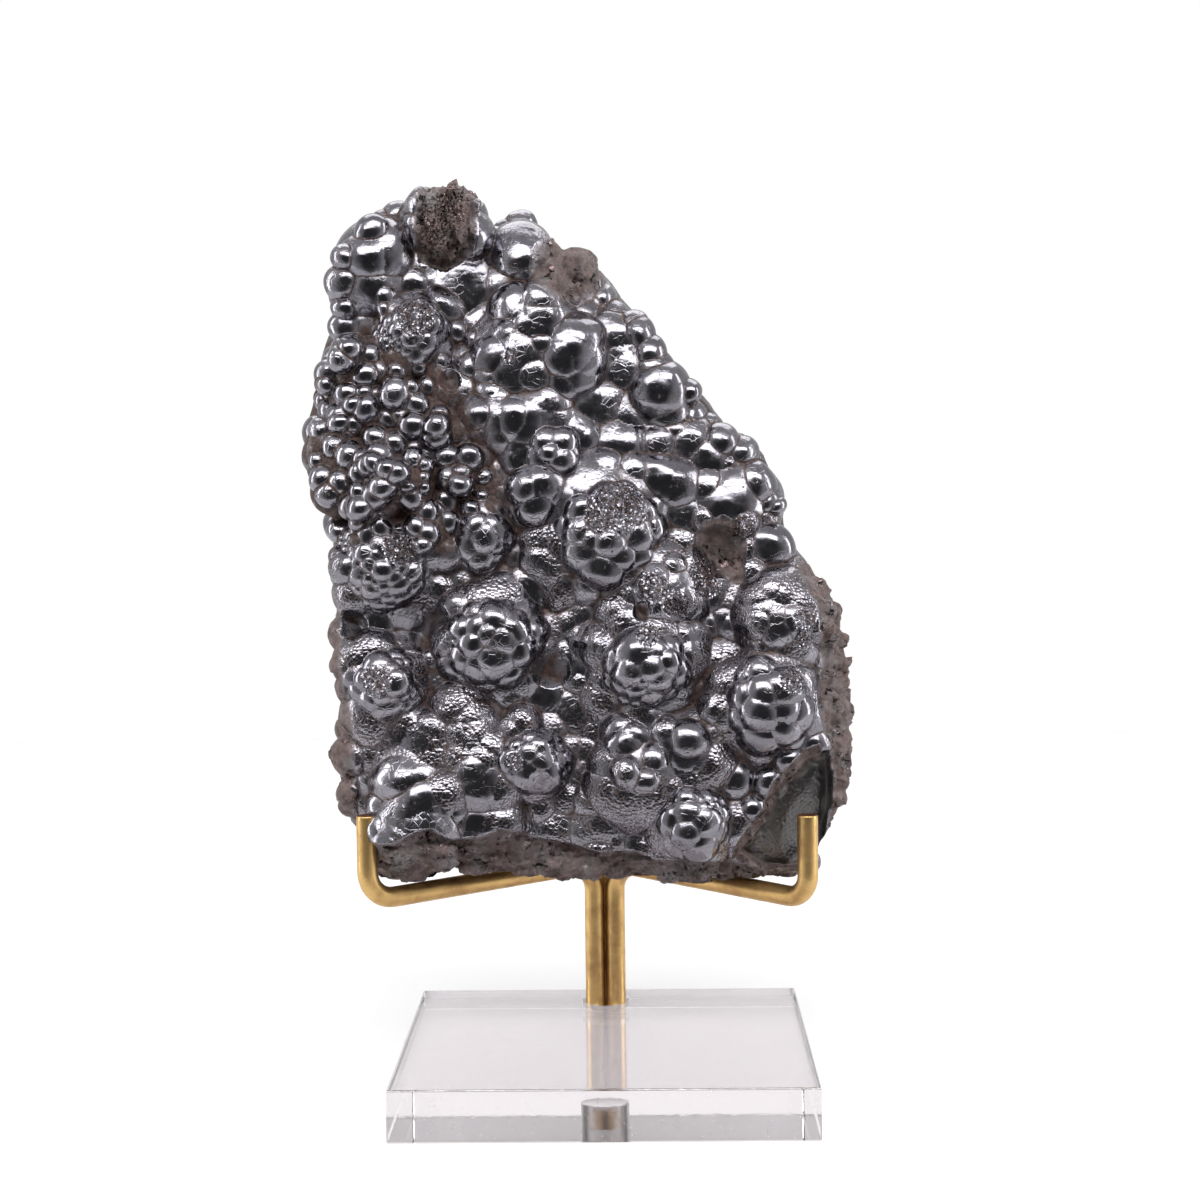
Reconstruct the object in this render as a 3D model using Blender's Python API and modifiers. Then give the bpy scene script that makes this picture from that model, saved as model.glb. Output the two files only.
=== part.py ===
"""Botryoidal hematite: one stone resting on three bent brass rods in a clear acrylic base.

The frame is metres, +Z up, with the origin at the middle of the base's underside and the
stone's bubbly face towards -Y. The stone is read on its own leaning face: 'across' runs along
+X, 'up' runs up the face, and 'out' points away from it towards the front.
"""

import math

import bmesh
import bpy
from mathutils import Matrix, Vector, noise

MM = 0.001

# Clear base
BASE_SIDE = 101.6 * MM
BASE_THICK = 12.7 * MM
BASE_EDGE = 0.4 * MM
BORE_DIAMETER = 12.4 * MM
BORE_DEPTH = 6.0 * MM
STEM = Vector((-0.6 * MM, 37.6 * MM, 0.0))
BORE_SIDES = 40

# Rods
ROD = 5.2 * MM
ROD_GAP = 0.3 * MM
ROD_PITCH = ROD + ROD_GAP
ARM_HEIGHT = 50.3 * MM
LEFT_HEEL_HEIGHT = 48.4 * MM
RIGHT_HEEL_HEIGHT = 47.9 * MM
STEM_BEND = 7.0 * MM
LEFT_HOOK = Vector((-59.3 * MM, -4.5 * MM, 70.1 * MM))
LEFT_HOOK_BEND = 7.2 * MM
RIGHT_HOOK = Vector((50.9 * MM, -4.5 * MM, 69.3 * MM))
RIGHT_HOOK_BEND = 5.8 * MM
REST_BEND_HEIGHT = 46.0 * MM
REST_TIP = Vector((-0.6 * MM, 41.4 * MM, 126.0 * MM))
ARC_STEPS = 7

# Stone: its face was read in steps of 1.075 mm
STEP = 1.075 * MM
FACE_LEAN = math.radians(6.0)
FACE_ORIGIN = Vector((-0.75 * MM, -3.7 * MM, 36.8 * MM))
ACROSS = Vector((1.0, 0.0, 0.0))
UP = Vector((0.0, math.sin(FACE_LEAN), math.cos(FACE_LEAN)))
OUT = Vector((0.0, -math.cos(FACE_LEAN), math.sin(FACE_LEAN)))
STONE_MIDDLE = (-5.0, 92.0)
STONE_FOOT = 15.0
STONE_TOP = 181.0
THICK_AT_FOOT = 34.0
THICK_AT_TOP = 23.0
EDGE_WIDTH = 11.0
EDGE_DROP = 10.0
STONE_REACH = 66.0
DEEPEST_MIDDLE = 0.8
STONE_VOXEL = 1.0 * MM
STONE_TRIANGLES = 7900
BREAK_GRAIN = 9.0 * MM
BREAK_SEED = 5
BACK_ROUGHNESS = 1.6
FOOT_HEIGHT = ARM_HEIGHT + ROD / 2 + ROD_GAP
FOOT_SLOPE = 0.045
FOOT_CELLS = 16
FOOT_HOLLOWS = 2.2 * MM
FOOT_GRAIN = 22 * MM

# The stone's outline, clockwise from the left end of its foot, in steps across and up
OUTLINE = (
    (-53, 13), (-58, 26), (-61, 31), (-62.8, 40), (-62, 50), (-62.5, 60), (-63.5, 72),
    (-63, 82), (-63.5, 89), (-64, 102), (-67, 107), (-69.5, 112), (-70.5, 121), (-68.5, 127),
    (-67, 135), (-64.5, 145), (-62, 149), (-63.5, 156), (-62, 162), (-58, 169),
    (-52, 173), (-45, 177.5), (-38, 181), (-32, 180), (-28, 177.5), (-25, 171), (-20, 171),
    (-14, 170.5), (-9, 166), (1, 160.5), (6, 153), (12, 147), (16, 140), (21, 134), (27, 128),
    (31, 121.5), (35, 120.5), (40, 115), (43, 106), (44.5, 97), (50.5, 88), (56, 82), (58.5, 73),
    (60, 64), (59.5, 54), (60.5, 45), (58.5, 34), (55.5, 28), (51.5, 23), (48, 13), (38, 12.5),
    (24, 13.5), (13, 13), (0, 15), (-20, 15), (-30, 15.5), (-36, 17), (-41, 13.5),
)

# Large knobs that the smaller domes grow on: across, up, reach, rise
KNOBS = (
    (-35.5, 170, 9.5, 8), (-43.5, 143.5, 9.5, 5.5), (-14, 145.5, 7.4, 6.5), (-6.5, 136.5, 6.6, 6),
    (-19.5, 134, 6, 5), (-18, 123, 7.5, 5), (-10.5, 115.5, 6.6, 5.5), (-14, 106.5, 8, 5.5),
    (2, 96, 14, 7.5), (14, 81.5, 7.4, 5.5), (11, 65, 10, 8.5), (39.5, 56.5, 11, 8.5),
    (43, 74.5, 6.7, 5.5), (-50, 90, 11.5, 6.5), (-25, 71.5, 12, 7.5), (-50, 60.5, 8.6, 6.5),
    (-27, 95.5, 7.2, 5), (-51, 109, 6.5, 4.5), (-16.5, 43, 8.2, 6.5), (-43, 37, 8.2, 6.5),
    (-28, 38.5, 6.7, 6), (21, 28.5, 8.5, 7.5), (8, 40, 7, 6), (20, 43.5, 6.8, 5),
    (31, 38, 6, 3.4), (-41.5, 29.5, 7, 4), (-30.5, 30, 6.4, 4.5), (15, 108.5, 6, 4.5),
    (37.3, 107.5, 5.6, 3.5), (34.3, 115.5, 4.6, 3), (30, 103, 8, 3), (-9.5, 156.5, 7.5, 2.5),
    (-3, 127.5, 8, 3), (15, 130, 8, 3), (4.5, 142.5, 7, 2.5), (41, 93, 6, 3),
    (-53.5, 24, 5, 3.6), (49.5, 46.5, 4.6, 3.4), (44, 42.5, 4.6, 3.6), (39.5, 37, 4.6, 3.6),
    (35.5, 31, 4.4, 3.4), (31, 25.5, 4, 3), (48, 18, 4, 4.8),
)

# Domes and bubbles, from the crown down to the foot: across, up, reach, rise
CROWN_DOMES = (
    (-40.5, 174.5, 4.5, 3), (-32.5, 177, 3.6, 3), (-29.5, 174.5, 3.6, 3), (-42, 168, 4, 3),
    (-36.5, 165, 4.5, 2.5), (-31.5, 168, 4, 2.5), (-47.5, 173, 5, 4), (-51, 170.5, 3.8, 3.2),
    (-55, 169.5, 3.4, 3), (-47.5, 165, 3.2, 2.6), (-53.3, 163, 4.5, 4), (-54, 157.8, 5.4, 4),
    (-52.5, 153.5, 3, 2.5), (-60, 156, 4.6, 2.5), (-24.5, 165, 6, 4.5), (-18, 170.5, 4.2, 3.8),
    (-43.7, 155, 6.2, 5), (-33, 155.8, 5.6, 5), (-28.5, 153, 4, 4), (-22, 154.6, 5, 4.5),
    (-12.6, 151.5, 4.4, 3.2), (0.5, 151, 3, 2.5), (4.5, 149.5, 3, 2),
)
UPPER_DOMES = (
    (-27.5, 147.5, 4, 3.5), (-25.2, 145.2, 3.8, 3.5), (-25.5, 141, 3.5, 3), (-30.5, 137.6, 3.5, 2.5),
    (-28.5, 135, 3.5, 2.5), (-45.5, 147.2, 3, 2), (-35.3, 144.5, 3.2, 2.5), (-43, 141.8, 2.8, 2),
    (-38, 137, 3, 2.2), (-52.5, 140.7, 2.7, 2.5), (-56, 147, 4, 3), (-60.5, 146, 3.2, 2.5),
    (-59, 140.5, 3.6, 3), (-56.5, 135, 4, 3), (-63, 134.5, 2.8, 2.4), (-50.5, 134.2, 3, 2.5),
    (-43, 134.5, 3.4, 3), (-46, 129.8, 3.6, 3), (-55, 129, 4.2, 3.4), (-53.5, 125.4, 3, 2.4),
    (-60.5, 124, 3, 2.5), (-65, 122, 2.8, 2.2), (-33, 129, 4.2, 4.2), (-12.5, 139, 3.5, 3),
    (-4, 147, 3.5, 2.5), (5, 135, 6, 2.5), (12.5, 137, 5, 2.5), (22.5, 125, 4, 2.5),
    (27, 122, 3.5, 2),
)
MIDDLE_DOMES = (
    (-41.5, 123, 5.5, 4), (-35.5, 120.8, 5, 4), (-51.5, 118.7, 2.8, 2.5), (-47.2, 118, 2.6, 2.5),
    (-43, 115.6, 2.7, 2.5), (-62.5, 116, 4, 3.5), (-57.8, 115.5, 3, 2.4), (-61, 110.5, 3.8, 3),
    (-35.5, 114.2, 2.8, 2.4), (-30, 114, 4.3, 3.5), (-38, 110, 3.2, 2.8), (-32.5, 108.8, 3.4, 3),
    (-35, 104, 3.2, 2.6), (-26.5, 107.8, 3, 2.5), (-51, 104.6, 3.2, 2.5), (-54.8, 102, 2.8, 2.8),
    (-46.5, 110, 2.8, 2), (-42.5, 101.5, 4.5, 2.6), (-1.5, 114.7, 3.7, 4.2), (2.7, 116.5, 4, 4),
    (7.3, 116.5, 4.4, 4), (14.5, 117, 4.7, 4.8), (21.4, 116.5, 2.8, 2.5), (25.7, 114.2, 3.7, 3.8),
    (24, 108, 5, 2.5), (-12.2, 108.2, 3.5, 3), (-17.9, 107.2, 3.3, 2.8), (40.5, 103.5, 3.2, 2.4),
    (23.9, 98.7, 3.6, 3.4), (34.8, 97.5, 4.2, 2.4), (-38.7, 96, 4.2, 3), (-61, 97, 2.6, 2),
    (-61, 89.7, 2.6, 2), (-31.2, 93, 3, 2.6), (-24, 97.5, 3, 2.4), (-42.7, 87, 3, 2),
    (-46, 83.8, 2.8, 1.8), (-53, 82.8, 3, 2), (-51.5, 79.4, 2.8, 2.5),
)
CENTRE_DOMES = (
    (-4.5, 90.5, 4, 3.6), (-5.3, 96.5, 3, 2.4), (10.5, 94.5, 3.2, 3), (-10.7, 90.5, 3.2, 2),
    (5.6, 89.5, 3.3, 3), (10, 89.4, 3, 3), (-1.8, 85.3, 3, 2.4), (3.6, 86, 3, 2.4),
    (18.4, 94.3, 4.2, 3.4), (17, 88.8, 3.4, 2.5), (22.5, 88.2, 3.4, 2.5), (25.8, 83, 5, 4.2),
    (36.3, 86.5, 5, 3.4), (35.5, 92.3, 3.3, 2.6), (23.8, 73.7, 3.8, 3.8), (-3.8, 77, 4.4, 3.4),
    (-8.7, 74.5, 2.6, 2.2), (-3.8, 65.6, 4.8, 4.2), (28.7, 66.2, 4, 3), (32.2, 74.5, 5, 2.4),
    (37.5, 68.5, 3.4, 2.8), (7.5, 72.3, 3.5, 2.2), (6.6, 63.2, 3.3, 2.4), (12, 64.2, 3.3, 2.4),
    (17.5, 69.5, 3, 2.2), (-16.5, 84, 7, 2.6), (-19, 91, 5, 2), (-31.3, 85.5, 5, 2),
    (-32.8, 79.6, 2.8, 2), (-18, 77.5, 3.3, 2.4), (-14, 74, 3.3, 2.8), (-28.8, 74.6, 2.8, 2),
    (-24, 69.4, 3.2, 2.4), (-17.9, 67.6, 3.3, 2.8), (-30, 67.8, 2.8, 2), (-31.8, 60.4, 3.2, 2.5),
    (-25.5, 61, 2.8, 2.2), (-44.6, 68, 3.2, 2.2), (-51.5, 66.3, 2.8, 2), (-47, 61.5, 3, 2.2),
    (-53.6, 56.9, 2.8, 2), (-50, 54, 4, 3.2), (-38.2, 67, 3.6, 2), (32.8, 57, 3.2, 2.4),
    (36.6, 53.2, 4.8, 3.2), (43.5, 60, 3.8, 2), (43.4, 54.2, 3, 2.2), (43, 48.8, 4, 3),
    (48.8, 55, 2.8, 2.2), (13, 55, 5, 2.6), (5.2, 55.5, 3.8, 2.6), (19, 54, 3.6, 3),
)
FOOT_DOMES = (
    (-25, 54, 4.7, 3.8), (-13, 57.5, 4.4, 2.6), (-6.6, 54.6, 4.4, 3), (-7.8, 46, 4, 3.6),
    (-3, 44.8, 3.4, 3), (-13, 46.8, 2.8, 2), (-12.5, 42.5, 2.8, 2), (-16.3, 38, 3.6, 2.4),
    (5.5, 47.6, 5, 4.2), (13, 43.6, 3.6, 3), (30, 45.5, 5.4, 4.2), (35, 47, 3.8, 2.6),
    (20.8, 48.5, 4.6, 3), (-54.4, 39, 4.6, 4), (-52, 33, 3.6, 2.6), (-14.4, 32.4, 5, 4.4),
    (-0.3, 27.8, 6, 5), (-2.2, 35, 5.5, 2.8), (9.7, 24.2, 3, 2.6), (6.3, 41, 3.4, 2.4),
    (20.1, 25.2, 3.2, 2), (24.4, 27.5, 3.2, 2), (15.5, 28.5, 2.8, 2), (47, 35, 3.4, 2.2),
    (41.5, 25.5, 5, 1.8), (36, 19.5, 4, 2), (58.3, 71.5, 1.8, 1.8),
)
DOMES = CROWN_DOMES + UPPER_DOMES + MIDDLE_DOMES + CENTRE_DOMES + FOOT_DOMES

# Hollows where the crust is missing: across, up, reach, depth
HOLLOWS = (
    (28, 91.5, 6.5, 4.5), (46, 33, 7, 4.5), (41, 24, 7.5, 4.5), (-34, 132, 3, 2.5), (-47, 100, 3, 1.5),
    (10.5, 77.6, 2.5, 1.5), (18, 78, 2.8, 1.5), (-11.5, 64.5, 5, 2), (-42, 75, 7, 3),
    (-58, 75, 4, 2.5), (-14, 38, 3, 1),
)

# Broken places with a rough surface: across, up, reach, roughness
BROKEN = (
    (-35, 171, 10, 1.1), (-6, 159, 13, 0.8), (-45, 22, 14, 1.2), (-20, 20, 14, 1.2),
    (5, 19, 14, 1.2), (28, 19, 12, 1.0), (6, 101, 7, 0.6), (55, 45, 8, 0.8), (54, 62, 8, 0.8),
    (53, 30, 8, 0.8),
)


def clear_scene():
    for obj in list(bpy.data.objects):
        bpy.data.objects.remove(obj, do_unlink=True)


def make_collection(name):
    collection = bpy.data.collections.new(name)
    bpy.context.scene.collection.children.link(collection)
    return collection


def make_material(name, colour, metallic, roughness, transmission=0.0):
    material = bpy.data.materials.new(name)
    material.use_nodes = True
    shader = material.node_tree.nodes["Principled BSDF"]
    shader.inputs["Base Color"].default_value = (*colour, 1.0)
    shader.inputs["Metallic"].default_value = metallic
    shader.inputs["Roughness"].default_value = roughness
    shader.inputs["Transmission Weight"].default_value = transmission
    return material


def new_object(name, data, collection, material=None):
    obj = bpy.data.objects.new(name, data)
    collection.objects.link(obj)
    if material:
        obj.data.materials.append(material)
    return obj


def hide_cutter(cutter):
    cutter.hide_render = True
    cutter.display_type = "WIRE"


def add_boolean(obj, cutter, operation="DIFFERENCE"):
    modifier = obj.modifiers.new(operation.title(), "BOOLEAN")
    modifier.operation = operation
    modifier.solver = "EXACT"
    modifier.object = cutter


def box_mesh(name, size, centre):
    mesh = bpy.data.meshes.new(name)
    shape = bmesh.new()
    bmesh.ops.create_cube(shape, size=1.0)
    bmesh.ops.scale(shape, vec=size, verts=shape.verts)
    bmesh.ops.translate(shape, vec=centre, verts=shape.verts)
    shape.to_mesh(mesh)
    shape.free()
    return mesh


# Acrylic base
def make_base(parts, cutters, material):
    size = Vector((BASE_SIDE, BASE_SIDE, BASE_THICK))
    base = new_object("acrylic_base", box_mesh("acrylic_base", size, (0, 0, BASE_THICK / 2)), parts, material)
    bevel = base.modifiers.new("Edges", "BEVEL")
    bevel.width = BASE_EDGE
    bevel.segments = 1
    mesh = bpy.data.meshes.new("bore_cutter")
    shape = bmesh.new()
    bmesh.ops.create_cone(
        shape,
        cap_ends=True,
        segments=BORE_SIDES,
        radius1=BORE_DIAMETER / 2,
        radius2=BORE_DIAMETER / 2,
        depth=2 * BORE_DEPTH,
    )
    shape.to_mesh(mesh)
    shape.free()
    bore = new_object("bore_cutter", mesh, cutters)
    bore.location = STEM + Vector((0, 0, BASE_THICK))
    hide_cutter(bore)
    add_boolean(base, bore)
    return base


# Rods
def arc(corner, before, after, radius):
    """Points of a bend of this radius, between the directions in which a rod reaches and leaves a corner."""
    turn = before.angle(after)
    back = radius * math.tan(turn / 2)
    start = corner - before * back
    inward = (after - before * before.dot(after)).normalized()
    centre = start + inward * radius
    points = []
    for i in range(ARC_STEPS + 1):
        angle = turn * i / ARC_STEPS
        points.append(centre - inward * radius * math.cos(angle) + before * radius * math.sin(angle))
    return points


def make_rod(name, points, parts, material):
    curve = bpy.data.curves.new(name, "CURVE")
    curve.dimensions = "3D"
    curve.bevel_depth = ROD / 2
    curve.bevel_resolution = 4
    curve.use_fill_caps = True
    curve.twist_mode = "MINIMUM"
    spline = curve.splines.new("POLY")
    spline.points.add(len(points) - 1)
    for slot, point in zip(spline.points, points):
        slot.co = (*point, 1.0)
    return new_object(name, curve, parts, material)


def stem_place(turn):
    """Where one of the three bundled rods stands in the bore, by its angle about the stem."""
    radius = ROD_PITCH / math.sqrt(3)
    return STEM + Vector((math.sin(turn), -math.cos(turn), 0)) * radius


def rod_foot(place):
    return Vector((place.x, place.y, BASE_THICK - BORE_DEPTH + ROD_GAP))


def make_arm(name, turn, hook, heel_height, hook_bend, parts, material):
    place = stem_place(turn)
    elbow = Vector((place.x, place.y, ARM_HEIGHT))
    heel = Vector((hook.x, hook.y, heel_height))
    rise = Vector((0, 0, 1))
    along = (heel - elbow).normalized()
    points = [rod_foot(place)]
    points += arc(elbow, rise, along, STEM_BEND)
    points += arc(heel, along, rise, hook_bend)
    points.append(hook)
    return make_rod(name, points, parts, material)


def make_back_rest(parts, material):
    place = stem_place(math.pi)
    elbow = Vector((place.x, place.y, REST_BEND_HEIGHT))
    return make_rod("back_rest", [rod_foot(place), elbow, REST_TIP], parts, material)


# Stone
def face_point(across, up, out):
    return FACE_ORIGIN + STEP * (ACROSS * across + UP * up + OUT * out)


def outline_distance(across, up):
    """How far a point of the face lies inside the outline, in steps."""
    nearest = EDGE_WIDTH
    point = Vector((across, up))
    for i, first in enumerate(OUTLINE):
        a = Vector(first)
        b = Vector(OUTLINE[(i + 1) % len(OUTLINE)])
        along = min(1.0, max(0.0, (point - a).dot(b - a) / (b - a).length_squared))
        nearest = min(nearest, (point - a - (b - a) * along).length)
    return nearest


def edge_drop(inside):
    """How far the face rounds off towards its rim."""
    return EDGE_DROP * (1 - min(inside, EDGE_WIDTH) / EDGE_WIDTH) ** 2


def thickness(up):
    share = (up - STONE_FOOT) / (STONE_TOP - STONE_FOOT)
    return THICK_AT_FOOT + (THICK_AT_TOP - THICK_AT_FOOT) * share


def section(inset, depth):
    """The outline drawn in by an inset, at a depth given for each height by a function."""
    scale = 1 - inset / STONE_REACH
    points = []
    for across, up in OUTLINE:
        shrunk_across = STONE_MIDDLE[0] + (across - STONE_MIDDLE[0]) * scale
        shrunk_up = STONE_MIDDLE[1] + (up - STONE_MIDDLE[1]) * scale
        points.append(face_point(shrunk_across, shrunk_up, -depth(up)))
    return points


def body_sections():
    """The stone without its lumps, as sections from the middle of its face to the middle of its back."""
    sections = []
    for inset in (EDGE_WIDTH, 8.0, 5.5, 3.0, 1.2, 0.0):
        sections.append(section(inset, lambda up, drop=edge_drop(inset): drop))
    for inset, share in ((0.0, 0.6), (2.5, 0.8), (8.0, 0.95), (18.0, 1.0)):
        sections.append(section(inset, lambda up, share=share: share * thickness(up)))
    return sections


def loft(shape, sections):
    rings = [[shape.verts.new(point) for point in points] for points in sections]
    count = len(OUTLINE)
    for first, second in zip(rings, rings[1:]):
        for i in range(count):
            j = (i + 1) % count
            shape.faces.new((first[i], first[j], second[j], second[i]))
    shape.faces.new(rings[0])
    shape.faces.new(rings[-1])
    bmesh.ops.recalc_face_normals(shape, faces=shape.faces)


def surface_out(lumps, across, up):
    """How far out the face stands at a place, with the lumps made so far."""
    out = -edge_drop(outline_distance(across, up))
    for lump_across, lump_up, lump_out, width, height in lumps:
        beside = ((across - lump_across) ** 2 + (up - lump_up) ** 2) / width**2
        if beside < 1:
            out = max(out, lump_out + height * math.sqrt(1 - beside))
    return out


def grow_lumps():
    """Each lump as a ball that shows a cap of its reach and rise on the surface below it.

    A ball whose middle would lie deep in the stone is flattened, so that it stays in the crust.
    """
    lumps = []
    for across, up, reach, rise in KNOBS + DOMES:
        radius = (reach**2 + rise**2) / (2 * rise)
        sunk = min(radius - rise, DEEPEST_MIDDLE * rise)
        height = rise + sunk
        width = reach / math.sqrt(1 - (sunk / height) ** 2)
        level = surface_out(lumps, across, up)
        lumps.append((across, up, level - sunk, width, height))
    return lumps


def add_lump(shape, lump):
    across, up, out, width, height = lump
    axes = Matrix((ACROSS * width * STEP, UP * width * STEP, OUT * height * STEP)).transposed()
    place = Matrix.Translation(face_point(across, up, out)) @ axes.to_4x4()
    bmesh.ops.create_icosphere(shape, subdivisions=3, radius=1.0, matrix=place)


def read_on_face(point):
    """A point in space as steps across, up and out of the face."""
    offset = (point - FACE_ORIGIN) / STEP
    return offset.dot(ACROSS), offset.dot(UP), offset.dot(OUT)


def hollow_depth(across, up):
    depth = 0.0
    for middle_across, middle_up, reach, deepest in HOLLOWS:
        beside = ((across - middle_across) ** 2 + (up - middle_up) ** 2) / reach**2
        if beside < 1:
            depth = max(depth, deepest * (1 - beside))
    return depth


def roughness_at(across, up, out):
    """Broken rock is roughest on the back and sides, and at the broken places of the face."""
    rough = BACK_ROUGHNESS * min(1.0, max(0.0, (-out - EDGE_DROP) / EDGE_DROP))
    for middle_across, middle_up, reach, amount in BROKEN:
        beside = math.hypot(across - middle_across, up - middle_up) / reach
        rough = max(rough, amount * min(1.0, max(0.0, 2.0 - 2.0 * beside)))
    return rough


def weather(mesh):
    """Sinks the hollows and breaks up the rough places."""
    noise.seed_set(BREAK_SEED)
    for vertex in mesh.vertices:
        across, up, out = read_on_face(vertex.co)
        if out > -EDGE_DROP:
            vertex.co -= OUT * STEP * hollow_depth(across, up)
        rough = roughness_at(across, up, out)
        if rough > 0:
            vertex.co += noise.noise_vector(vertex.co / BREAK_GRAIN) * rough * STEP


def evaluated_mesh(obj, name):
    bpy.context.view_layer.update()
    graph = bpy.context.evaluated_depsgraph_get()
    return bpy.data.meshes.new_from_object(obj.evaluated_get(graph), depsgraph=graph)


def make_foot_cutter(cutters):
    """Cuts the stone off along the top of the sloping arms, with hollows here and there in the cut."""
    reach = STONE_TOP * STEP
    mesh = bpy.data.meshes.new("foot_cutter")
    shape = bmesh.new()
    top = bmesh.ops.create_grid(shape, x_segments=FOOT_CELLS, y_segments=FOOT_CELLS, size=reach / 2)
    for vertex in top["verts"]:
        hollow = max(0.0, noise.noise(vertex.co / FOOT_GRAIN)) * 2 * FOOT_HOLLOWS
        vertex.co.z = FOOT_HEIGHT - (STEM.y - vertex.co.y) * FOOT_SLOPE + hollow
    below = bmesh.ops.extrude_face_region(shape, geom=shape.faces[:])
    for vertex in [item for item in below["geom"] if isinstance(item, bmesh.types.BMVert)]:
        vertex.co.z = FOOT_HEIGHT - reach / 2
    bmesh.ops.recalc_face_normals(shape, faces=shape.faces)
    shape.to_mesh(mesh)
    shape.free()
    cutter = new_object("foot_cutter", mesh, cutters)
    hide_cutter(cutter)
    return cutter


def make_stone(parts, cutters, material):
    mesh = bpy.data.meshes.new("hematite")
    shape = bmesh.new()
    loft(shape, body_sections())
    for lump in grow_lumps():
        add_lump(shape, lump)
    shape.to_mesh(mesh)
    shape.free()
    stone = new_object("hematite", mesh, parts, material)
    remesh = stone.modifiers.new("One skin", "REMESH")
    remesh.mode = "VOXEL"
    remesh.voxel_size = STONE_VOXEL
    skin = evaluated_mesh(stone, "hematite")
    stone.modifiers.clear()
    stone.data = skin
    weather(skin)
    fewer = stone.modifiers.new("Fewer faces", "DECIMATE")
    fewer.ratio = STONE_TRIANGLES / (2 * len(skin.polygons))
    add_boolean(stone, make_foot_cutter(cutters))
    return stone


def build():
    clear_scene()
    parts = make_collection("botryoidal_hematite")
    cutters = make_collection("cutters")
    hematite = make_material("hematite", (0.09, 0.085, 0.09), 0.9, 0.25)
    brass = make_material("brass", (0.55, 0.38, 0.16), 1.0, 0.35)
    acrylic = make_material("acrylic", (0.93, 0.92, 0.97), 0.0, 0.02, 1.0)
    make_base(parts, cutters, acrylic)
    third = math.pi / 3
    make_arm("left_arm", -third, LEFT_HOOK, LEFT_HEEL_HEIGHT, LEFT_HOOK_BEND, parts, brass)
    make_arm("right_arm", third, RIGHT_HOOK, RIGHT_HEEL_HEIGHT, RIGHT_HOOK_BEND, parts, brass)
    make_back_rest(parts, brass)
    make_stone(parts, cutters, hematite)


build()
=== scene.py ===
"""Looks for the botryoidal hematite on its brass and acrylic stand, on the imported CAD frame.

Metres, +Z up, the stone's bubbly face towards -Y. The stone is read on its own leaning face, as
in its CAD: 'across' runs along +X, 'up' runs up the face, 'out' points away from it to the front.
"""

import math
import random

import bmesh
import bpy
import numpy as np
from mathutils import Matrix, Vector, noise


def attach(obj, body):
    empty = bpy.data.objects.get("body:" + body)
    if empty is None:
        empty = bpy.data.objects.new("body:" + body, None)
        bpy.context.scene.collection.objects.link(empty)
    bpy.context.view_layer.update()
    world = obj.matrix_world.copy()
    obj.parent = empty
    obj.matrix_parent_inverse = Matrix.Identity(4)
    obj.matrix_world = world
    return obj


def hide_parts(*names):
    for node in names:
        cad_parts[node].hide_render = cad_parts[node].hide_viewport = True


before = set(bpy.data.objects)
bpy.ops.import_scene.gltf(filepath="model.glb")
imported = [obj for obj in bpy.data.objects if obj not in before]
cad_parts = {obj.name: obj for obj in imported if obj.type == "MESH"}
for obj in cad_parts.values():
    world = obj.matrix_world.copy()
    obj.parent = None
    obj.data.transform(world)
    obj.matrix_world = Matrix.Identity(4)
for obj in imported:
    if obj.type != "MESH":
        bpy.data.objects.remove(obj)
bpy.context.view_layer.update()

MM = 0.001
TINY = 1e-9
FAR = 1e9

# Clear base
BASE_SIDE = 101.6 * MM
BASE_THICK = 12.7 * MM
BASE_EDGE = 0.4 * MM
BORE_DIAMETER = 12.4 * MM
BORE_DEPTH = 6.0 * MM
BORE_SIDES = 96
STEM = Vector((-0.6 * MM, 37.6 * MM, 0.0))

# Rods
ROD = 5.2 * MM
ROD_GAP = 0.3 * MM
ROD_PITCH = ROD + ROD_GAP
ROD_SIDES = 48
ROD_SPACING = 1.2 * MM
ROD_WEAR = 0.35 * MM
ARM_HEIGHT = 50.3 * MM
LEFT_HEEL_HEIGHT = 48.4 * MM
RIGHT_HEEL_HEIGHT = 47.9 * MM
STEM_BEND = 7.0 * MM
LEFT_HOOK = Vector((-59.3 * MM, -4.5 * MM, 70.1 * MM))
LEFT_HOOK_BEND = 7.2 * MM
RIGHT_HOOK = Vector((50.9 * MM, -4.5 * MM, 69.3 * MM))
RIGHT_HOOK_BEND = 5.8 * MM
REST_BEND_HEIGHT = 46.0 * MM
REST_TIP = Vector((-0.6 * MM, 41.4 * MM, 126.0 * MM))

# Stone: its face was read in steps of 1.075 mm
STEP = 1.075 * MM
FACE_LEAN = math.radians(6.0)
FACE_ORIGIN = Vector((-0.75 * MM, -3.7 * MM, 36.8 * MM))
ACROSS = Vector((1.0, 0.0, 0.0))
UP = Vector((0.0, math.sin(FACE_LEAN), math.cos(FACE_LEAN)))
OUT = Vector((0.0, -math.cos(FACE_LEAN), math.sin(FACE_LEAN)))
STONE_MIDDLE = (-5.0, 92.0)
STONE_FOOT = 15.0
STONE_TOP = 181.0
THICK_AT_FOOT = 34.0
THICK_AT_TOP = 23.0
EDGE_WIDTH = 11.0
EDGE_DROP = 10.0
STONE_REACH = 66.0
FOOT_HEIGHT = ARM_HEIGHT + ROD / 2 + ROD_GAP
FOOT_SLOPE = 0.045
FOOT_RELIEF = 0.08
UPPER_PART = 100

# The body's rings: insets of those round its face, and insets and shares of its thickness behind them
RIM_INSETS = (EDGE_WIDTH, 8.0, 5.5, 3.0, 1.2, 0.0)
SIDE_RINGS = ((0.0, 0.6), (2.5, 0.8), (8.0, 0.95), (18.0, 1.0))

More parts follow.
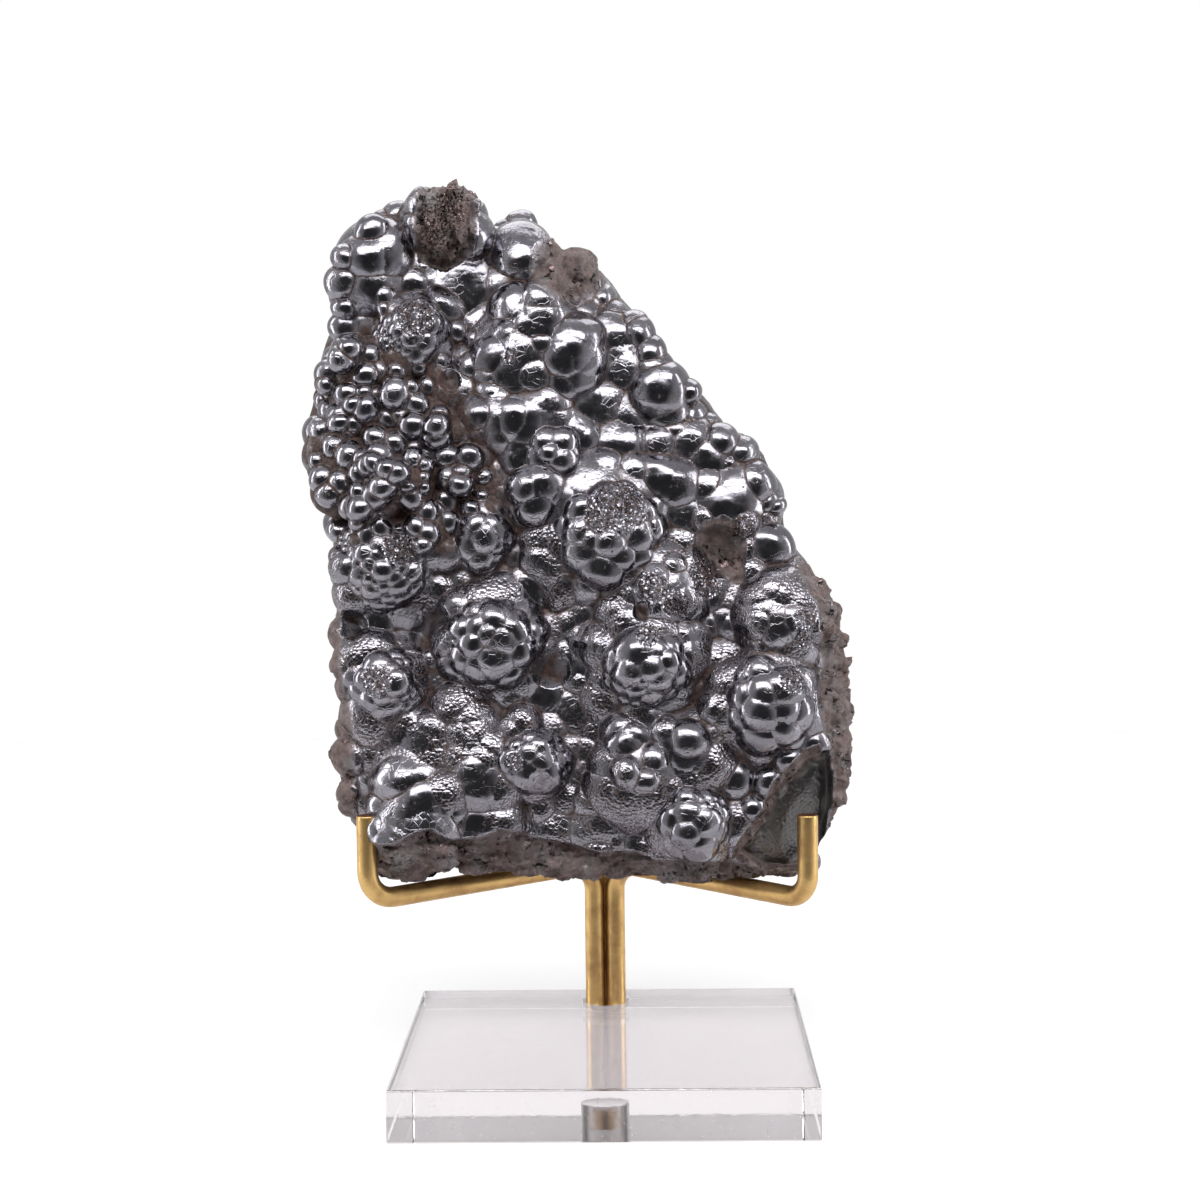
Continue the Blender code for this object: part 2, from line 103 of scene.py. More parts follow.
# The stone's outline, clockwise from the left end of its foot, in steps across and up
OUTLINE = (
    (-53, 13), (-58, 26), (-61, 31), (-62.8, 40), (-62, 50), (-62.5, 60), (-63.5, 72),
    (-63, 82), (-63.5, 89), (-64, 102), (-67, 107), (-69.5, 112), (-70.5, 121), (-68.5, 127),
    (-67, 135), (-64.5, 145), (-62, 149), (-63.5, 156), (-62, 162), (-58, 169),
    (-52, 173), (-45, 177.5), (-38, 181), (-32, 180), (-28, 177.5), (-25, 171), (-20, 171),
    (-14, 170.5), (-9, 166), (1, 160.5), (6, 153), (12, 147), (16, 140), (21, 134), (27, 128),
    (31, 121.5), (35, 120.5), (40, 115), (43, 106), (44.5, 97), (50.5, 88), (56, 82), (58.5, 73),
    (60, 64), (59.5, 54), (60.5, 45), (58.5, 34), (55.5, 28), (51.5, 23), (48, 13), (38, 12.5),
    (24, 13.5), (13, 13), (0, 15), (-20, 15), (-30, 15.5), (-36, 17), (-41, 13.5),
)


# Large knobs that the smaller domes grow on: across, up, reach, rise
KNOBS = (
    (-35.5, 170, 9.5, 8), (-43.5, 143.5, 9.5, 5.5), (-14, 145.5, 7.4, 6.5), (-6.5, 136.5, 6.6, 6),
    (-19.5, 134, 6, 5), (-18, 123, 7.5, 5), (-10.5, 115.5, 6.6, 5.5), (-14, 106.5, 8, 5.5),
    (2, 96, 14, 7.5), (14, 81.5, 7.4, 5.5), (11, 65, 10, 8.5), (39.5, 56.5, 11, 8.5),
    (43, 74.5, 6.7, 5.5), (-50, 90, 11.5, 6.5), (-25, 71.5, 12, 7.5), (-50, 60.5, 8.6, 6.5),
    (-27, 95.5, 7.2, 5), (-51, 109, 6.5, 4.5), (-16.5, 43, 8.2, 6.5), (-43, 37, 8.2, 6.5),
    (-28, 38.5, 6.7, 6), (21, 28.5, 8.5, 7.5), (8, 40, 7, 6), (20, 43.5, 6.8, 5),
    (31, 38, 6, 3.4), (-41.5, 29.5, 7, 4), (-30.5, 30, 6.4, 4.5), (15, 108.5, 6, 4.5),
    (37.3, 107.5, 5.6, 3.5), (34.3, 115.5, 4.6, 3), (30, 103, 8, 3), (-9.5, 156.5, 7.5, 2.5),
    (-3, 127.5, 8, 3), (15, 130, 8, 3), (4.5, 142.5, 7, 2.5), (41, 93, 6, 3),
    (-53.5, 24, 5, 3.6), (49.5, 46.5, 4.6, 3.4), (44, 42.5, 4.6, 3.6), (39.5, 37, 4.6, 3.6),
    (35.5, 31, 4.4, 3.4), (31, 25.5, 4, 3), (48, 18, 4, 4.8),
)

# Domes and bubbles, from the crown down to the foot: across, up, reach
CROWN_DOMES = (
    (-40.5, 174.5, 4.5), (-32.5, 177, 3.6), (-29.5, 174.5, 3.6), (-42, 168, 4), (-36.5, 165, 4.5),
    (-31.5, 168, 4), (-47.5, 173, 5), (-51, 170.5, 3.8), (-55, 169.5, 3.4), (-47.5, 165, 3.2),
    (-53.3, 163, 4.5), (-54, 157.8, 5.4), (-52.5, 153.5, 3), (-60, 156, 4.6), (-24.5, 165, 6),
    (-18, 170.5, 4.2), (-43.7, 155, 6.2), (-33, 155.8, 5.6), (-28.5, 153, 4), (-22, 154.6, 5),
    (-12.6, 151.5, 4.4), (0.5, 151, 3), (4.5, 149.5, 3),
)
UPPER_DOMES = (
    (-27.5, 147.5, 4), (-25.2, 145.2, 3.8), (-25.5, 141, 3.5), (-30.5, 137.6, 3.5), (-28.5, 135, 3.5),
    (-45.5, 147.2, 3), (-35.3, 144.5, 3.2), (-43, 141.8, 2.8), (-38, 137, 3), (-52.5, 140.7, 2.7),
    (-56, 147, 4), (-60.5, 146, 3.2), (-59, 140.5, 3.6), (-56.5, 135, 4), (-63, 134.5, 2.8),
    (-50.5, 134.2, 3), (-43, 134.5, 3.4), (-46, 129.8, 3.6), (-55, 129, 4.2), (-53.5, 125.4, 3),
    (-60.5, 124, 3), (-65, 122, 2.8), (-33, 129, 4.2), (-12.5, 139, 3.5), (-4, 147, 3.5), (5, 135, 6),
    (12.5, 137, 5), (22.5, 125, 4), (27, 122, 3.5),
)
MIDDLE_DOMES = (
    (-41.5, 123, 5.5), (-35.5, 120.8, 5), (-51.5, 118.7, 2.8), (-47.2, 118, 2.6), (-43, 115.6, 2.7),
    (-62.5, 116, 4), (-57.8, 115.5, 3), (-61, 110.5, 3.8), (-35.5, 114.2, 2.8), (-30, 114, 4.3),
    (-38, 110, 3.2), (-32.5, 108.8, 3.4), (-35, 104, 3.2), (-26.5, 107.8, 3), (-51, 104.6, 3.2),
    (-54.8, 102, 2.8), (-46.5, 110, 2.8), (-42.5, 101.5, 4.5), (-1.5, 114.7, 3.7), (2.7, 116.5, 4),
    (7.3, 116.5, 4.4), (14.5, 117, 4.7), (21.4, 116.5, 2.8), (25.7, 114.2, 3.7), (24, 108, 5),
    (-12.2, 108.2, 3.5), (-17.9, 107.2, 3.3), (40.5, 103.5, 3.2), (23.9, 98.7, 3.6), (34.8, 97.5, 4.2),
    (-38.7, 96, 4.2), (-61, 97, 2.6), (-61, 89.7, 2.6), (-31.2, 93, 3), (-24, 97.5, 3), (-42.7, 87, 3),
    (-46, 83.8, 2.8), (-53, 82.8, 3), (-51.5, 79.4, 2.8),
)
CENTRE_DOMES = (
    (-4.5, 90.5, 4), (-5.3, 96.5, 3), (10.5, 94.5, 3.2), (-10.7, 90.5, 3.2), (5.6, 89.5, 3.3),
    (10, 89.4, 3), (-1.8, 85.3, 3), (3.6, 86, 3), (18.4, 94.3, 4.2), (17, 88.8, 3.4), (22.5, 88.2, 3.4),
    (25.8, 83, 5), (36.3, 86.5, 5), (35.5, 92.3, 3.3), (23.8, 73.7, 3.8), (-3.8, 77, 4.4),
    (-8.7, 74.5, 2.6), (-3.8, 65.6, 4.8), (28.7, 66.2, 4), (32.2, 74.5, 5), (37.5, 68.5, 3.4),
    (7.5, 72.3, 3.5), (6.6, 63.2, 3.3), (12, 64.2, 3.3), (17.5, 69.5, 3), (-16.5, 84, 7), (-19, 91, 5),
    (-31.3, 85.5, 5), (-32.8, 79.6, 2.8), (-18, 77.5, 3.3), (-14, 74, 3.3), (-28.8, 74.6, 2.8),
    (-24, 69.4, 3.2), (-17.9, 67.6, 3.3), (-30, 67.8, 2.8), (-31.8, 60.4, 3.2), (-25.5, 61, 2.8),
    (-44.6, 68, 3.2), (-51.5, 66.3, 2.8), (-47, 61.5, 3), (-53.6, 56.9, 2.8), (-50, 54, 4),
    (-38.2, 67, 3.6), (32.8, 57, 3.2), (36.6, 53.2, 4.8), (43.5, 60, 3.8), (43.4, 54.2, 3), (43, 48.8, 4),
    (48.8, 55, 2.8), (13, 55, 5), (5.2, 55.5, 3.8), (19, 54, 3.6),
)
FOOT_DOMES = (
    (-25, 54, 4.7), (-13, 57.5, 4.4), (-6.6, 54.6, 4.4), (-7.8, 46, 4), (-3, 44.8, 3.4), (-13, 46.8, 2.8),
    (-12.5, 42.5, 2.8), (-16.3, 38, 3.6), (5.5, 47.6, 5), (13, 43.6, 3.6), (30, 45.5, 5.4), (35, 47, 3.8),
    (20.8, 48.5, 4.6), (-54.4, 39, 4.6), (-52, 33, 3.6), (-14.4, 32.4, 5), (-0.3, 27.8, 6),
    (-2.2, 35, 5.5), (9.7, 24.2, 3), (6.3, 41, 3.4), (20.1, 25.2, 3.2), (24.4, 27.5, 3.2),
    (15.5, 28.5, 2.8), (47, 35, 3.4), (41.5, 25.5, 5), (36, 19.5, 4), (58.3, 71.5, 1.8),
)
DOMES = CROWN_DOMES + UPPER_DOMES + MIDDLE_DOMES + CENTRE_DOMES + FOOT_DOMES

# Hollows where the crust is missing: across, up, reach, depth
HOLLOWS = (
    (28, 91.5, 6.5, 4.5), (46, 33, 7, 4.5), (41, 24, 7.5, 4.5), (-34, 132, 3, 2.5), (-47, 100, 3, 1.5),
    (10.5, 77.6, 2.5, 1.5), (18, 78, 2.8, 1.5), (-11.5, 64.5, 5, 2), (-42, 75, 7, 3),
    (-58, 75, 4, 2.5), (-14, 38, 3, 1),
)

# Small bubbles on the domes: across, up, reach
FINE_BUBBLES = (
    (-53, 168.3, 2.2), (-48, 169.3, 3), (-22, 169.8, 2), (-46.5, 144.2, 2.2), (-39, 148.5, 2),
    (-33, 144, 2.5), (-40, 141.6, 2.2), (-44, 140.1, 2), (-42, 137.2, 2.2), (-38, 135.6, 2.5),
    (-64.2, 135, 2.5), (-59, 138.7, 3), (-47.5, 129.2, 2.8), (-44.5, 128.2, 3), (-63.2, 126.6, 2),
    (-60, 121.6, 2.2), (-58, 114.2, 2.4), (-43, 121.7, 2.6), (-37.5, 121.7, 2.4),
    (-37.2, 118.7, 2.6), (-30, 114.2, 2.4), (-39, 114.7, 1.5), (-53.2, 111.7, 2), (-51, 112.7, 2),
    (-49, 111.2, 2), (-46, 110.2, 2.2), (-49.1, 107.1, 2.4), (-31.8, 107, 2.4), (42.6, 102.1, 2),
    (-5.3, 102, 2), (-2.3, 99.5, 1.8), (13, 95, 2.5), (3, 93.5, 2.5), (-7.2, 85.5, 2.5),
    (24.3, 88.5, 2.5), (-27.6, 98.5, 2), (-23.4, 98, 2.4), (-26.3, 95, 2.8), (-31.3, 93.1, 3),
    (-30.3, 95.6, 2), (-42.7, 97.7, 2), (-56, 98.7, 1.6), (-49.6, 97.7, 2), (-47.6, 89.8, 1.8),
    (-43.2, 93.7, 2.2), (-40.7, 93.2, 2), (-50.1, 87.8, 2), (-57.5, 88.8, 2.5), (-55, 92.2, 2),
    (6.6, 67.5, 2.8), (13.4, 68.7, 2.2), (16.4, 65.7, 2.2), (14.4, 60.7, 2.2), (24.3, 65.6, 3),
    (34.6, 60.5, 2.5), (46, 59.7, 3), (43, 57.7, 2.6), (23.8, 59.8, 4), (21.8, 54.4, 2.5),
    (-19.4, 74, 3), (-25.8, 72.1, 2.2), (-32.8, 74, 2.6), (-32.8, 66.3, 2.6), (-23.9, 65.3, 3.5),
    (-27.8, 61.3, 2), (-44.2, 60.4, 2.5), (-45.6, 70.8, 2.8), (-15.9, 45, 2), (-16.3, 41.8, 2),
    (-14, 39.4, 2), (-17.8, 37.5, 3), (-12, 50.8, 5), (20.1, 30.6, 2.2), (10.6, 38.7, 2.8),
    (6.3, 39.2, 3), (8.7, 28.2, 3),
)

# Lobes of the knobs at the left, which the bubbles stand on: across, up, reach
LOBES = (
    (-59, 139, 4), (-56.5, 134.5, 4), (-55.5, 126.5, 4.5), (-61.5, 130.5, 3.5), (-63.5, 126, 2.5),
    (-60.5, 123, 4), (-66.5, 121.5, 3.5), (-63, 115.5, 4), (-59.5, 111, 3), (-65.5, 111, 3),
    (-51, 111.5, 6), (-46.5, 109, 4), (-51, 104, 4.5), (-54.5, 102, 3.5), (-45, 129.5, 4),
    (-48.5, 127.5, 2.5), (-33.5, 129.5, 4), (-38.5, 128, 3.5), (-43.5, 121.5, 4), (-36.5, 121, 4),
    (-51.5, 119, 3.5), (-47, 117.5, 3), (-43, 115, 3), (-34.5, 114.5, 3.5), (-30.5, 113, 3.5),
    (-38, 110, 3.5), (-32.5, 107.5, 3.5), (-35, 103.5, 3.5), (-26.5, 108.5, 3.5), (-42.5, 99, 5),
    (-37.5, 100.5, 3.5), (-61, 99, 4), (-53, 97, 3.5), (-57, 120.5, 3.5), (-28, 102, 4),
)

# Patches of still smaller beads, which are strewn: across, up, reach, count, smallest, largest
BEAD_PATCHES = (
    (-57, 112, 10, 40, 1.4, 2.9), (-59, 131, 10, 36, 1.4, 2.8), (-43, 119, 9, 26, 1.4, 2.7),
    (-42, 103, 9, 26, 1.3, 2.7), (-33, 109, 8, 16, 1.3, 2.6), (-46, 131, 8, 18, 1.3, 2.6),
)

# Broken band along the foot, below the crust
FOOT_BAND = (
    (-58, 26), (-52.8, 25), (-48.5, 24.9), (-44.2, 26.4), (-39, 27.6), (-34.8, 25.2),
    (-32.5, 24.9), (-26.9, 26.1), (-23.3, 27.4), (-19, 26.4), (-15.1, 24.7), (-7.3, 23.4),
    (0, 21), (8, 21.5), (14, 20), (22, 19.5), (30, 19), (35, 17), (44, 16.5), (50, 15.5),
    (50, 8), (-58, 8),
)

# Hollow below the ledge at the right of the foot, which keeps the mould of another dome
RECESS = (
    (53, 45), (48.5, 43.5), (45.5, 39.5), (42, 36), (39.5, 30.5), (36, 26), (32.5, 20.5),
    (37, 17.2), (44, 16.8), (49, 17), (52.5, 24), (54.5, 33), (54.5, 40),
)

# Sides of the stone that show past the edge of the crust, and the bare rock on the crown
RIGHT_SIDE = (
    (46, 90), (51, 78), (51.5, 68), (51, 55), (53, 46), (54.5, 38), (52.5, 22), (70, 20), (70, 90),
)
LEFT_SIDE = (
    (-61.5, 84), (-60.5, 74), (-59.5, 62), (-57.5, 52), (-57.5, 42), (-57.5, 32), (-56, 24), (-75, 24),
    (-75, 84),
)
CROWN_ROCK = (
    (-41.5, 160.5), (-43, 168), (-42, 176), (-38, 184), (-31, 184), (-27, 178), (-27.5, 168), (-29, 162),
    (-35, 158.5),
)

# Spots where a dome's skin is gone and its grains glitter: across, up, reach
GRAINY_SPOTS = (
    (5, 102, 7), (1, 100, 5), (12.5, 82.5, 4.6), (17.5, 79.5, 3.4), (25.8, 83.4, 3.4),
    (24.5, 87, 3.4), (34.4, 97.4, 3.4), (47.5, 74.8, 3.4), (47, 70.3, 2.2), (-19.7, 42.7, 2.6),
    (11.5, 72, 3.2), (44.5, 61.5, 3.4), (-46, 92.5, 4.4), (-51.5, 62, 4), (-44, 148, 3),
    (-20.5, 137, 2.2), (-42, 146.5, 5), (-36, 170, 7), (-33, 176, 5), (-38, 164, 4),
)

# Knobs that are covered with beads: the knob's place in its table, and the beads' half width
KNOB_BEADS = (
    (1, 1.4), (6, 3.0), (7, 3.2), (8, 2.8), (10, 2.7), (11, 2.5), (13, 1.5), (14, 2.3),
    (15, 1.9), (16, 2.6), (17, 1.8), (18, 2.1), (21, 2.5),
)

# Shallow domes that fill the sheets between the knobs: reach and tries
SHEET_DOMES = ((8.0, 400), (6.5, 500), (5.2, 900), (4.2, 1500), (3.3, 2000), (2.6, 1200), (2.0, 1200))

# Ground between the left bubbles, brown with dust
BROWN_GROUND = (
    (-70, 92), (-50, 96), (-36, 92), (-24, 98), (-22, 112), (-30, 124), (-36, 136), (-44, 142),
    (-58, 146), (-70, 140),
)

# Rock without ledges, a brown patch below the crown and a hollow: across, up, reach; the hollow's outline
CALM_ROCK = ((-6, 159, 10.0), (28, 91.5, 9.0))
HOLLOW = (
    (22.5, 95), (24.5, 98.5), (29, 99.8), (33.5, 98), (35, 93.5), (33.8, 88.5), (34, 84.5), (31, 84),
    (28.5, 88), (24.5, 90.5),
)

# How far the foot band and the recess are sunk, and the right end of the broken ledge
FOOT_BAND_DEPTH = 1.8
RECESS_DEPTH = 4.6
LEDGE_END = 51

# Broken areas, and how far outside and inside its edge each starts and is fully broken
BROKEN_AREAS = (
    (FOOT_BAND, -0.4, 0.8),
    (RIGHT_SIDE, -0.5, 1.5),
    (LEFT_SIDE, -0.5, 1.5),
    (CROWN_ROCK, -0.6, 0.8),
    (HOLLOW, -0.5, 0.8),
)

# Broken faces: their sizes and steps, and how some are stretched along X, Y and Z
LEAST_BROKEN = 0.02
FACE_SHUFFLE = 17.0
FACE_STEP = 0.6
BACK_FACES = ((24 * MM, 1.9 * MM), (9 * MM, 0.8 * MM), (3.5 * MM, 0.28 * MM))
BACK_LOSS = 1.6 * MM
CROWN_COLUMNS = (0.8, 1.0, 2.6)
FOOT_LAYERS = (3.0, 1.0, 0.5)

# Growing the lumps
SEED = 11
PROBE = 0.5
LUMP_TURN = 0.6
BUBBLY_RIGHT = -28
BUBBLY_FOOT = 86
BUBBLY_TOP = 152

# Knobs: how much lower or higher than in their table some stand, and their grade
LOW_KNOBS = (0, 42)
LOW_KNOB_RISE = 0.62
UPPER_KNOB_RISE = 0.6
TALL_KNOB = 4.2
TALL_KNOB_RISE = 1.15
TALL_KNOB_REACH = 1.04
KNOB_GRADE = 0.8

# Lobes: the smallest knobs that get them, and how far out, how wide and how high these lie on a knob
LOBED_REACH = 5.5
LOBED_RISE = 3.6
KNOB_LOBES = 4
LOBE_STRAY = 0.4
LOBE_AWAY = (0.38, 0.55)
LOBE_REACH = (0.5, 0.62)
LOBE_RISE = 0.13
LOBE_ROOM = 1.5
LOBE_GRADE = 0.7

# Open domes, above and below: spread, steepness and grade
UPPER_OPEN = (1.55, 0.32, 0.85)
LOWER_OPEN = (1.35, 0.38, 0.92)
TALLEST_OPEN = 2.6
KNOB_ROOM = 0.85
BUBBLE_SPREAD = 1.15
WIDE_BUBBLE = 3.7
BUBBLE_GRADE = 0.55
SMALLEST_OPEN = 2.5
WIDEST_LOWER = 6
SHEET_RISE = (0.17, 0.27)
UPPER_GRADE = 0.86
SHEET_GRADE = 1.0

# Beads: share of the tries and size for each class, from the coarsest to the finest
BEAD_TRIES = 40
BEAD_CLASSES = ((0.01, 1.5), (0.3, 1.2), (1.0, 0.85))
BEAD_CONTRAST = 0.45
WIDEST_BEAD = 0.34
BEAD_SPACING = 0.86
BEAD_RISE = (0.5, 0.8)
BEAD_GRADE = 0.5
PATCH_GRADE = 0.15
PATCH_TURN = 0.9

# Stone's mesh
SKIN_VOXEL = 0.5 * MM
SKIN_TRIANGLES = 196000
LARGE_BALL = 3.0
NO_LUMP = 9.0
SNAP_REACH = 0.9
SWELLS = ((11 * MM, 0.9 * MM), (4.2 * MM, 0.2 * MM))
SWELL_PROBE = 0.2 * MM
# Seams and valleys, where the material lays brown that is part dust and part painted shade of the creases
SEAM_WIDTH = 0.3
SEAM_STRENGTHS = ((0.15, 0.5, 0.55, 0.8, 1.0), (1.0, 0.4, 0.7, 0.9, 0.55))
VALLEY_ROUNDS = 60
VALLEY_DEPTH = 0.9

# Width of the small cobbles on open sheets, and the materials' colours
PEBBLE = 0.95 * MM
STEEL = ((0.19, 0.183, 0.206), (0.27, 0.26, 0.288))
WARM_STEEL = (0.17, 0.14, 0.135)
# Brown laid in seams and valleys: part dust, part painted shade of the creases
BROWN_DUST_AND_SHADE = ((0.03, 0.019, 0.017), (0.085, 0.05, 0.042))
CRACK = (0.03, 0.024, 0.024)
MOULD = (0.1, 0.096, 0.094)
ROCK = ((0.075, 0.052, 0.048), (0.18, 0.134, 0.126))
ROCK_FACE = (0.18, 0.162, 0.166)
GOLD = ((0.6, 0.395, 0.16), (0.44, 0.27, 0.11))
BRASS_SPECK = (0.25, 0.14, 0.07)
CUT_END = (0.36, 0.13, 0.06)
# Acrylic tint: part the plastic's faint lilac tone, part painted shadow for the floor under the block, which
# casts none
ACRYLIC_TINT_AND_SHADOW = ((0.6, 0.57, 0.583), (0.45, 0.425, 0.435))
FLOOR_GREY = ((0.685, 0.685, 0.69), (0.705, 0.705, 0.71))

# Camera, fitted to the base's corners in the photo
CAMERA_PLACE = Vector((10.0 * MM, -609.0 * MM, 166.3 * MM))
CAMERA_YAW = math.radians(0.973)
CAMERA_PITCH = math.radians(4.05)
CAMERA_ROLL = math.radians(-0.653)
CAMERA_LENS = 73.25
CAMERA_SENSOR = 36.0

# Studio: the room is dark where a direction's Y lies below DARK_PART, and brighter through the base
LIT_MIDDLE = (0.0, 0.0, 0.12)
TOP_RADIANCE = 7.0
BACK_RADIANCE = 2.4
SIDE_RADIANCE = 6.0
DARK_FRONT = 0.07
ROOM_LEVEL = 0.68
DARK_PART = (-0.88, -0.45)
BRIGHTER_THROUGH = 0.5
FLOOR_CORNERS = ((-0.7, -0.16), (0.7, -0.16), (0.7, 0.7), (-0.7, 0.7))
FLOOR_GAP = 0.5 * MM

AXES = np.array((tuple(ACROSS), tuple(UP), tuple(OUT)))
ORIGIN = np.array(tuple(FACE_ORIGIN))


# Small helpers
def smooth_step(low, high, value):
    share = np.clip((value - low) / (high - low), 0.0, 1.0)
    return share * share * (3 - 2 * share)


def to_world(steps):
    return ORIGIN + STEP * (steps @ AXES)


def to_steps(points):
    return (points - ORIGIN) @ AXES.T / STEP


def inside_distance(polygon, places):
    """How far places lie inside a polygon, negative outside."""
    corners = np.array(polygon, float)
    nearest = np.full(len(places), FAR)
    inside = np.zeros(len(places), bool)
    for start, end in zip(corners, np.roll(corners, -1, 0)):
        side = end - start
        along = np.clip(((places - start) @ side) / (side @ side), 0.0, 1.0)
        gap = np.linalg.norm(places - start - along[:, None] * side, axis=1)
        nearest = np.minimum(nearest, gap)
        crosses = (start[1] > places[:, 1]) != (end[1] > places[:, 1])
        rise = side[1] if abs(side[1]) > TINY else TINY
        inside ^= crosses & (places[:, 0] < start[0] + (places[:, 1] - start[1]) * side[0] / rise)
    return np.where(inside, nearest, -nearest)


def place_inside(polygon, across, up):
    return inside_distance(polygon, np.array([[across, up]]))[0]


def edge_drop(inside):
    """How far the stone's face rounds off towards its rim."""
    return EDGE_DROP * (1 - np.minimum(np.abs(inside), EDGE_WIDTH) / EDGE_WIDTH) ** 2


def thickness(up):
    share = (up - STONE_FOOT) / (STONE_TOP - STONE_FOOT)
    return THICK_AT_FOOT + (THICK_AT_TOP - THICK_AT_FOOT) * share


def foot_height(points):
    return FOOT_HEIGHT - (STEM.y - points[:, 1]) * FOOT_SLOPE


def spots_near(spots, places, sharpness=2.0):
    """From 0 outside every spot to 1 well inside one."""
    near = np.zeros(len(places))
    for across, up, reach in spots:
        beside = np.hypot(places[:, 0] - across, places[:, 1] - up) / reach
        near = np.maximum(near, np.clip(sharpness * (1 - beside), 0.0, 1.0))
    return near


def swell(points):
    """Pushes lumps out of round: moves for points in metres, and how these change along each axis."""

    def move(places):
        moves = np.zeros(places.shape)
        for grain, height in SWELLS:
            moves += height * np.array([noise.noise_vector(Vector(place)) for place in places / grain])
        return moves

    here = move(points)
    bends = [(move(points + SWELL_PROBE * axis) - here) / SWELL_PROBE for axis in np.eye(3)]
    return here, np.stack(bends, axis=2)


def facets(points, size, stretch=(1.0, 1.0, 1.0)):
    """A height for each point, about -1 to 1, on broken faces that each have their own step and tilt."""
    heights = np.zeros(len(points))
    for i, point in enumerate(points / (np.array(stretch) * size)):
        place = Vector(point)
        middle = noise.voronoi(place)[1][0]
        tilt = noise.cell_vector(middle * FACE_SHUFFLE) * 2 - Vector((1, 1, 1))
        heights[i] = FACE_STEP * tilt.x + (place - middle).dot(tilt)
    return heights


def turned_place(across, up, away, turn):
    return across + away * math.cos(turn), up + away * math.sin(turn)


# Lumps of the stone
class Lumps:
    """Balls grown on the stone's face, each a middle across, up and out, and a radius, in steps.

    Each has a grade too, from 0 for a glossy bead to 1 for an open sheet with cobbles.
    """

    def __init__(self):
        self.balls = np.zeros((0, 4))
        self.reaches = []
        self.grades = []

    def surface(self, across, up):
        """The surface's point here, its direction, the ball it belongs to or -1, and how far the rim is."""
        here = np.array([[across, up], [across + PROBE, up], [across, up + PROBE]])
        inside = inside_distance(OUTLINE, here)
        level, right, above = -edge_drop(inside)
        ahead = np.array(((level - right) / PROBE, (level - above) / PROBE, 1.0))
        owner = -1
        beside = (self.balls[:, 0] - across) ** 2 + (self.balls[:, 1] - up) ** 2
        over = np.flatnonzero(beside < self.balls[:, 3] ** 2)
        if len(over):
            tops = self.balls[over, 2] + np.sqrt(self.balls[over, 3] ** 2 - beside[over])
            highest = np.argmax(tops)
            if tops[highest] > level:
                owner = over[highest]
                level = tops[highest]
                ahead = np.array((across, up, level)) - self.balls[owner, :3]
        return np.array((across, up, level)), ahead / np.linalg.norm(ahead), owner, inside[0]

    def grow_from(self, point, ahead, reach, rise, grade):
        """Grows a ball that shows a cap of this reach and rise, in this direction."""
        radius = (reach**2 + rise**2) / (2 * rise)
        middle = point - ahead * (radius - rise)
        self.balls = np.vstack((self.balls, (*middle, radius)))
        self.reaches.append(reach)
        self.grades.append(grade)

    def grow(self, across, up, reach, rise, grade, turned=LUMP_TURN):
        """The same from a place on the face, and steeper where the ball would stick out of the rim."""
        point, ahead, _, inside = self.surface(across, up)
        ahead = ahead * turned + np.array((0.0, 0.0, 1.0 - turned))
        widest = max(inside + 1.0, reach * 1.05)
        if rise < reach:
            rise = max(rise, widest - math.sqrt(widest**2 - reach**2))
        self.grow_from(point, ahead / np.linalg.norm(ahead), reach, rise, grade)


def is_bubbly(across, up):
    """Whether a place is among the bubbles at the left."""
    return across < BUBBLY_RIGHT and BUBBLY_FOOT < up < BUBBLY_TOP


def grow_knobs(lumps):
    for knob, (across, up, reach, rise) in enumerate(KNOBS):
        if knob in LOW_KNOBS:
            rise *= LOW_KNOB_RISE
        elif across > 0 and up > UPPER_PART:
            rise *= UPPER_KNOB_RISE
        elif rise > TALL_KNOB:
            rise *= TALL_KNOB_RISE
            reach *= TALL_KNOB_REACH
        lumps.grow(across, up, reach, rise, KNOB_GRADE)


def grow_lobes(lumps, strew):
    """Low lobes that make the plain knobs lumpy, and the lobes under the bubbles at the left."""
    for knob, (across, up, reach, rise) in enumerate(KNOBS):
        if knob in dict(KNOB_BEADS) or knob in LOW_KNOBS or reach < LOBED_REACH or rise < LOBED_RISE:
            continue
        first = strew.uniform(0, 2 * math.pi)
        for i in range(KNOB_LOBES):
            turn = first + i * 2 * math.pi / KNOB_LOBES + strew.uniform(-LOBE_STRAY, LOBE_STRAY)
            place = turned_place(across, up, reach * strew.uniform(*LOBE_AWAY), turn)
            wide = reach * strew.uniform(*LOBE_REACH)
            if place_inside(OUTLINE, *place) > wide + LOBE_ROOM:
                lumps.grow(*place, wide, LOBE_RISE * reach, KNOB_GRADE)
    for across, up, reach in LOBES:
        lumps.grow(across, up, 1.25 * reach, 0.62 * reach, LOBE_GRADE)


def grow_domes(lumps):
    """The domes and bubbles, from the widest to the smallest.

    Gives those that stand on a beaded knob, each a point and a reach, for its beads.
    """
    named = {knob: [] for knob, _ in KNOB_BEADS}
    domes = DOMES + tuple((across, up, BUBBLE_SPREAD * reach) for across, up, reach in FINE_BUBBLES)
    for across, up, reach in sorted(domes, key=lambda dome: -dome[2]):
        if place_inside(RECESS, across, up) > -0.5:
            continue
        point, _, owner, inside = lumps.surface(across, up)
        if owner in named:
            named[owner].append((point, reach))
        elif not is_bubbly(across, up):
            spread, steep, grade = UPPER_OPEN if up > UPPER_PART else LOWER_OPEN
            room = min(math.dist(knob[:2], (across, up)) - KNOB_ROOM * knob[2] for knob in KNOBS)
            wide = min(spread * reach, max(reach, inside + 0.5), max(0.9 * reach, room))
            lumps.grow(across, up, wide, min(TALLEST_OPEN, steep * reach), grade)
        elif reach > WIDE_BUBBLE:
            lumps.grow(across, up, 1.45 * reach, 0.62 * reach, KNOB_GRADE)
        else:
            lumps.grow(across, up, 1.2 * reach, 0.8 * reach, BUBBLE_GRADE)
    return named


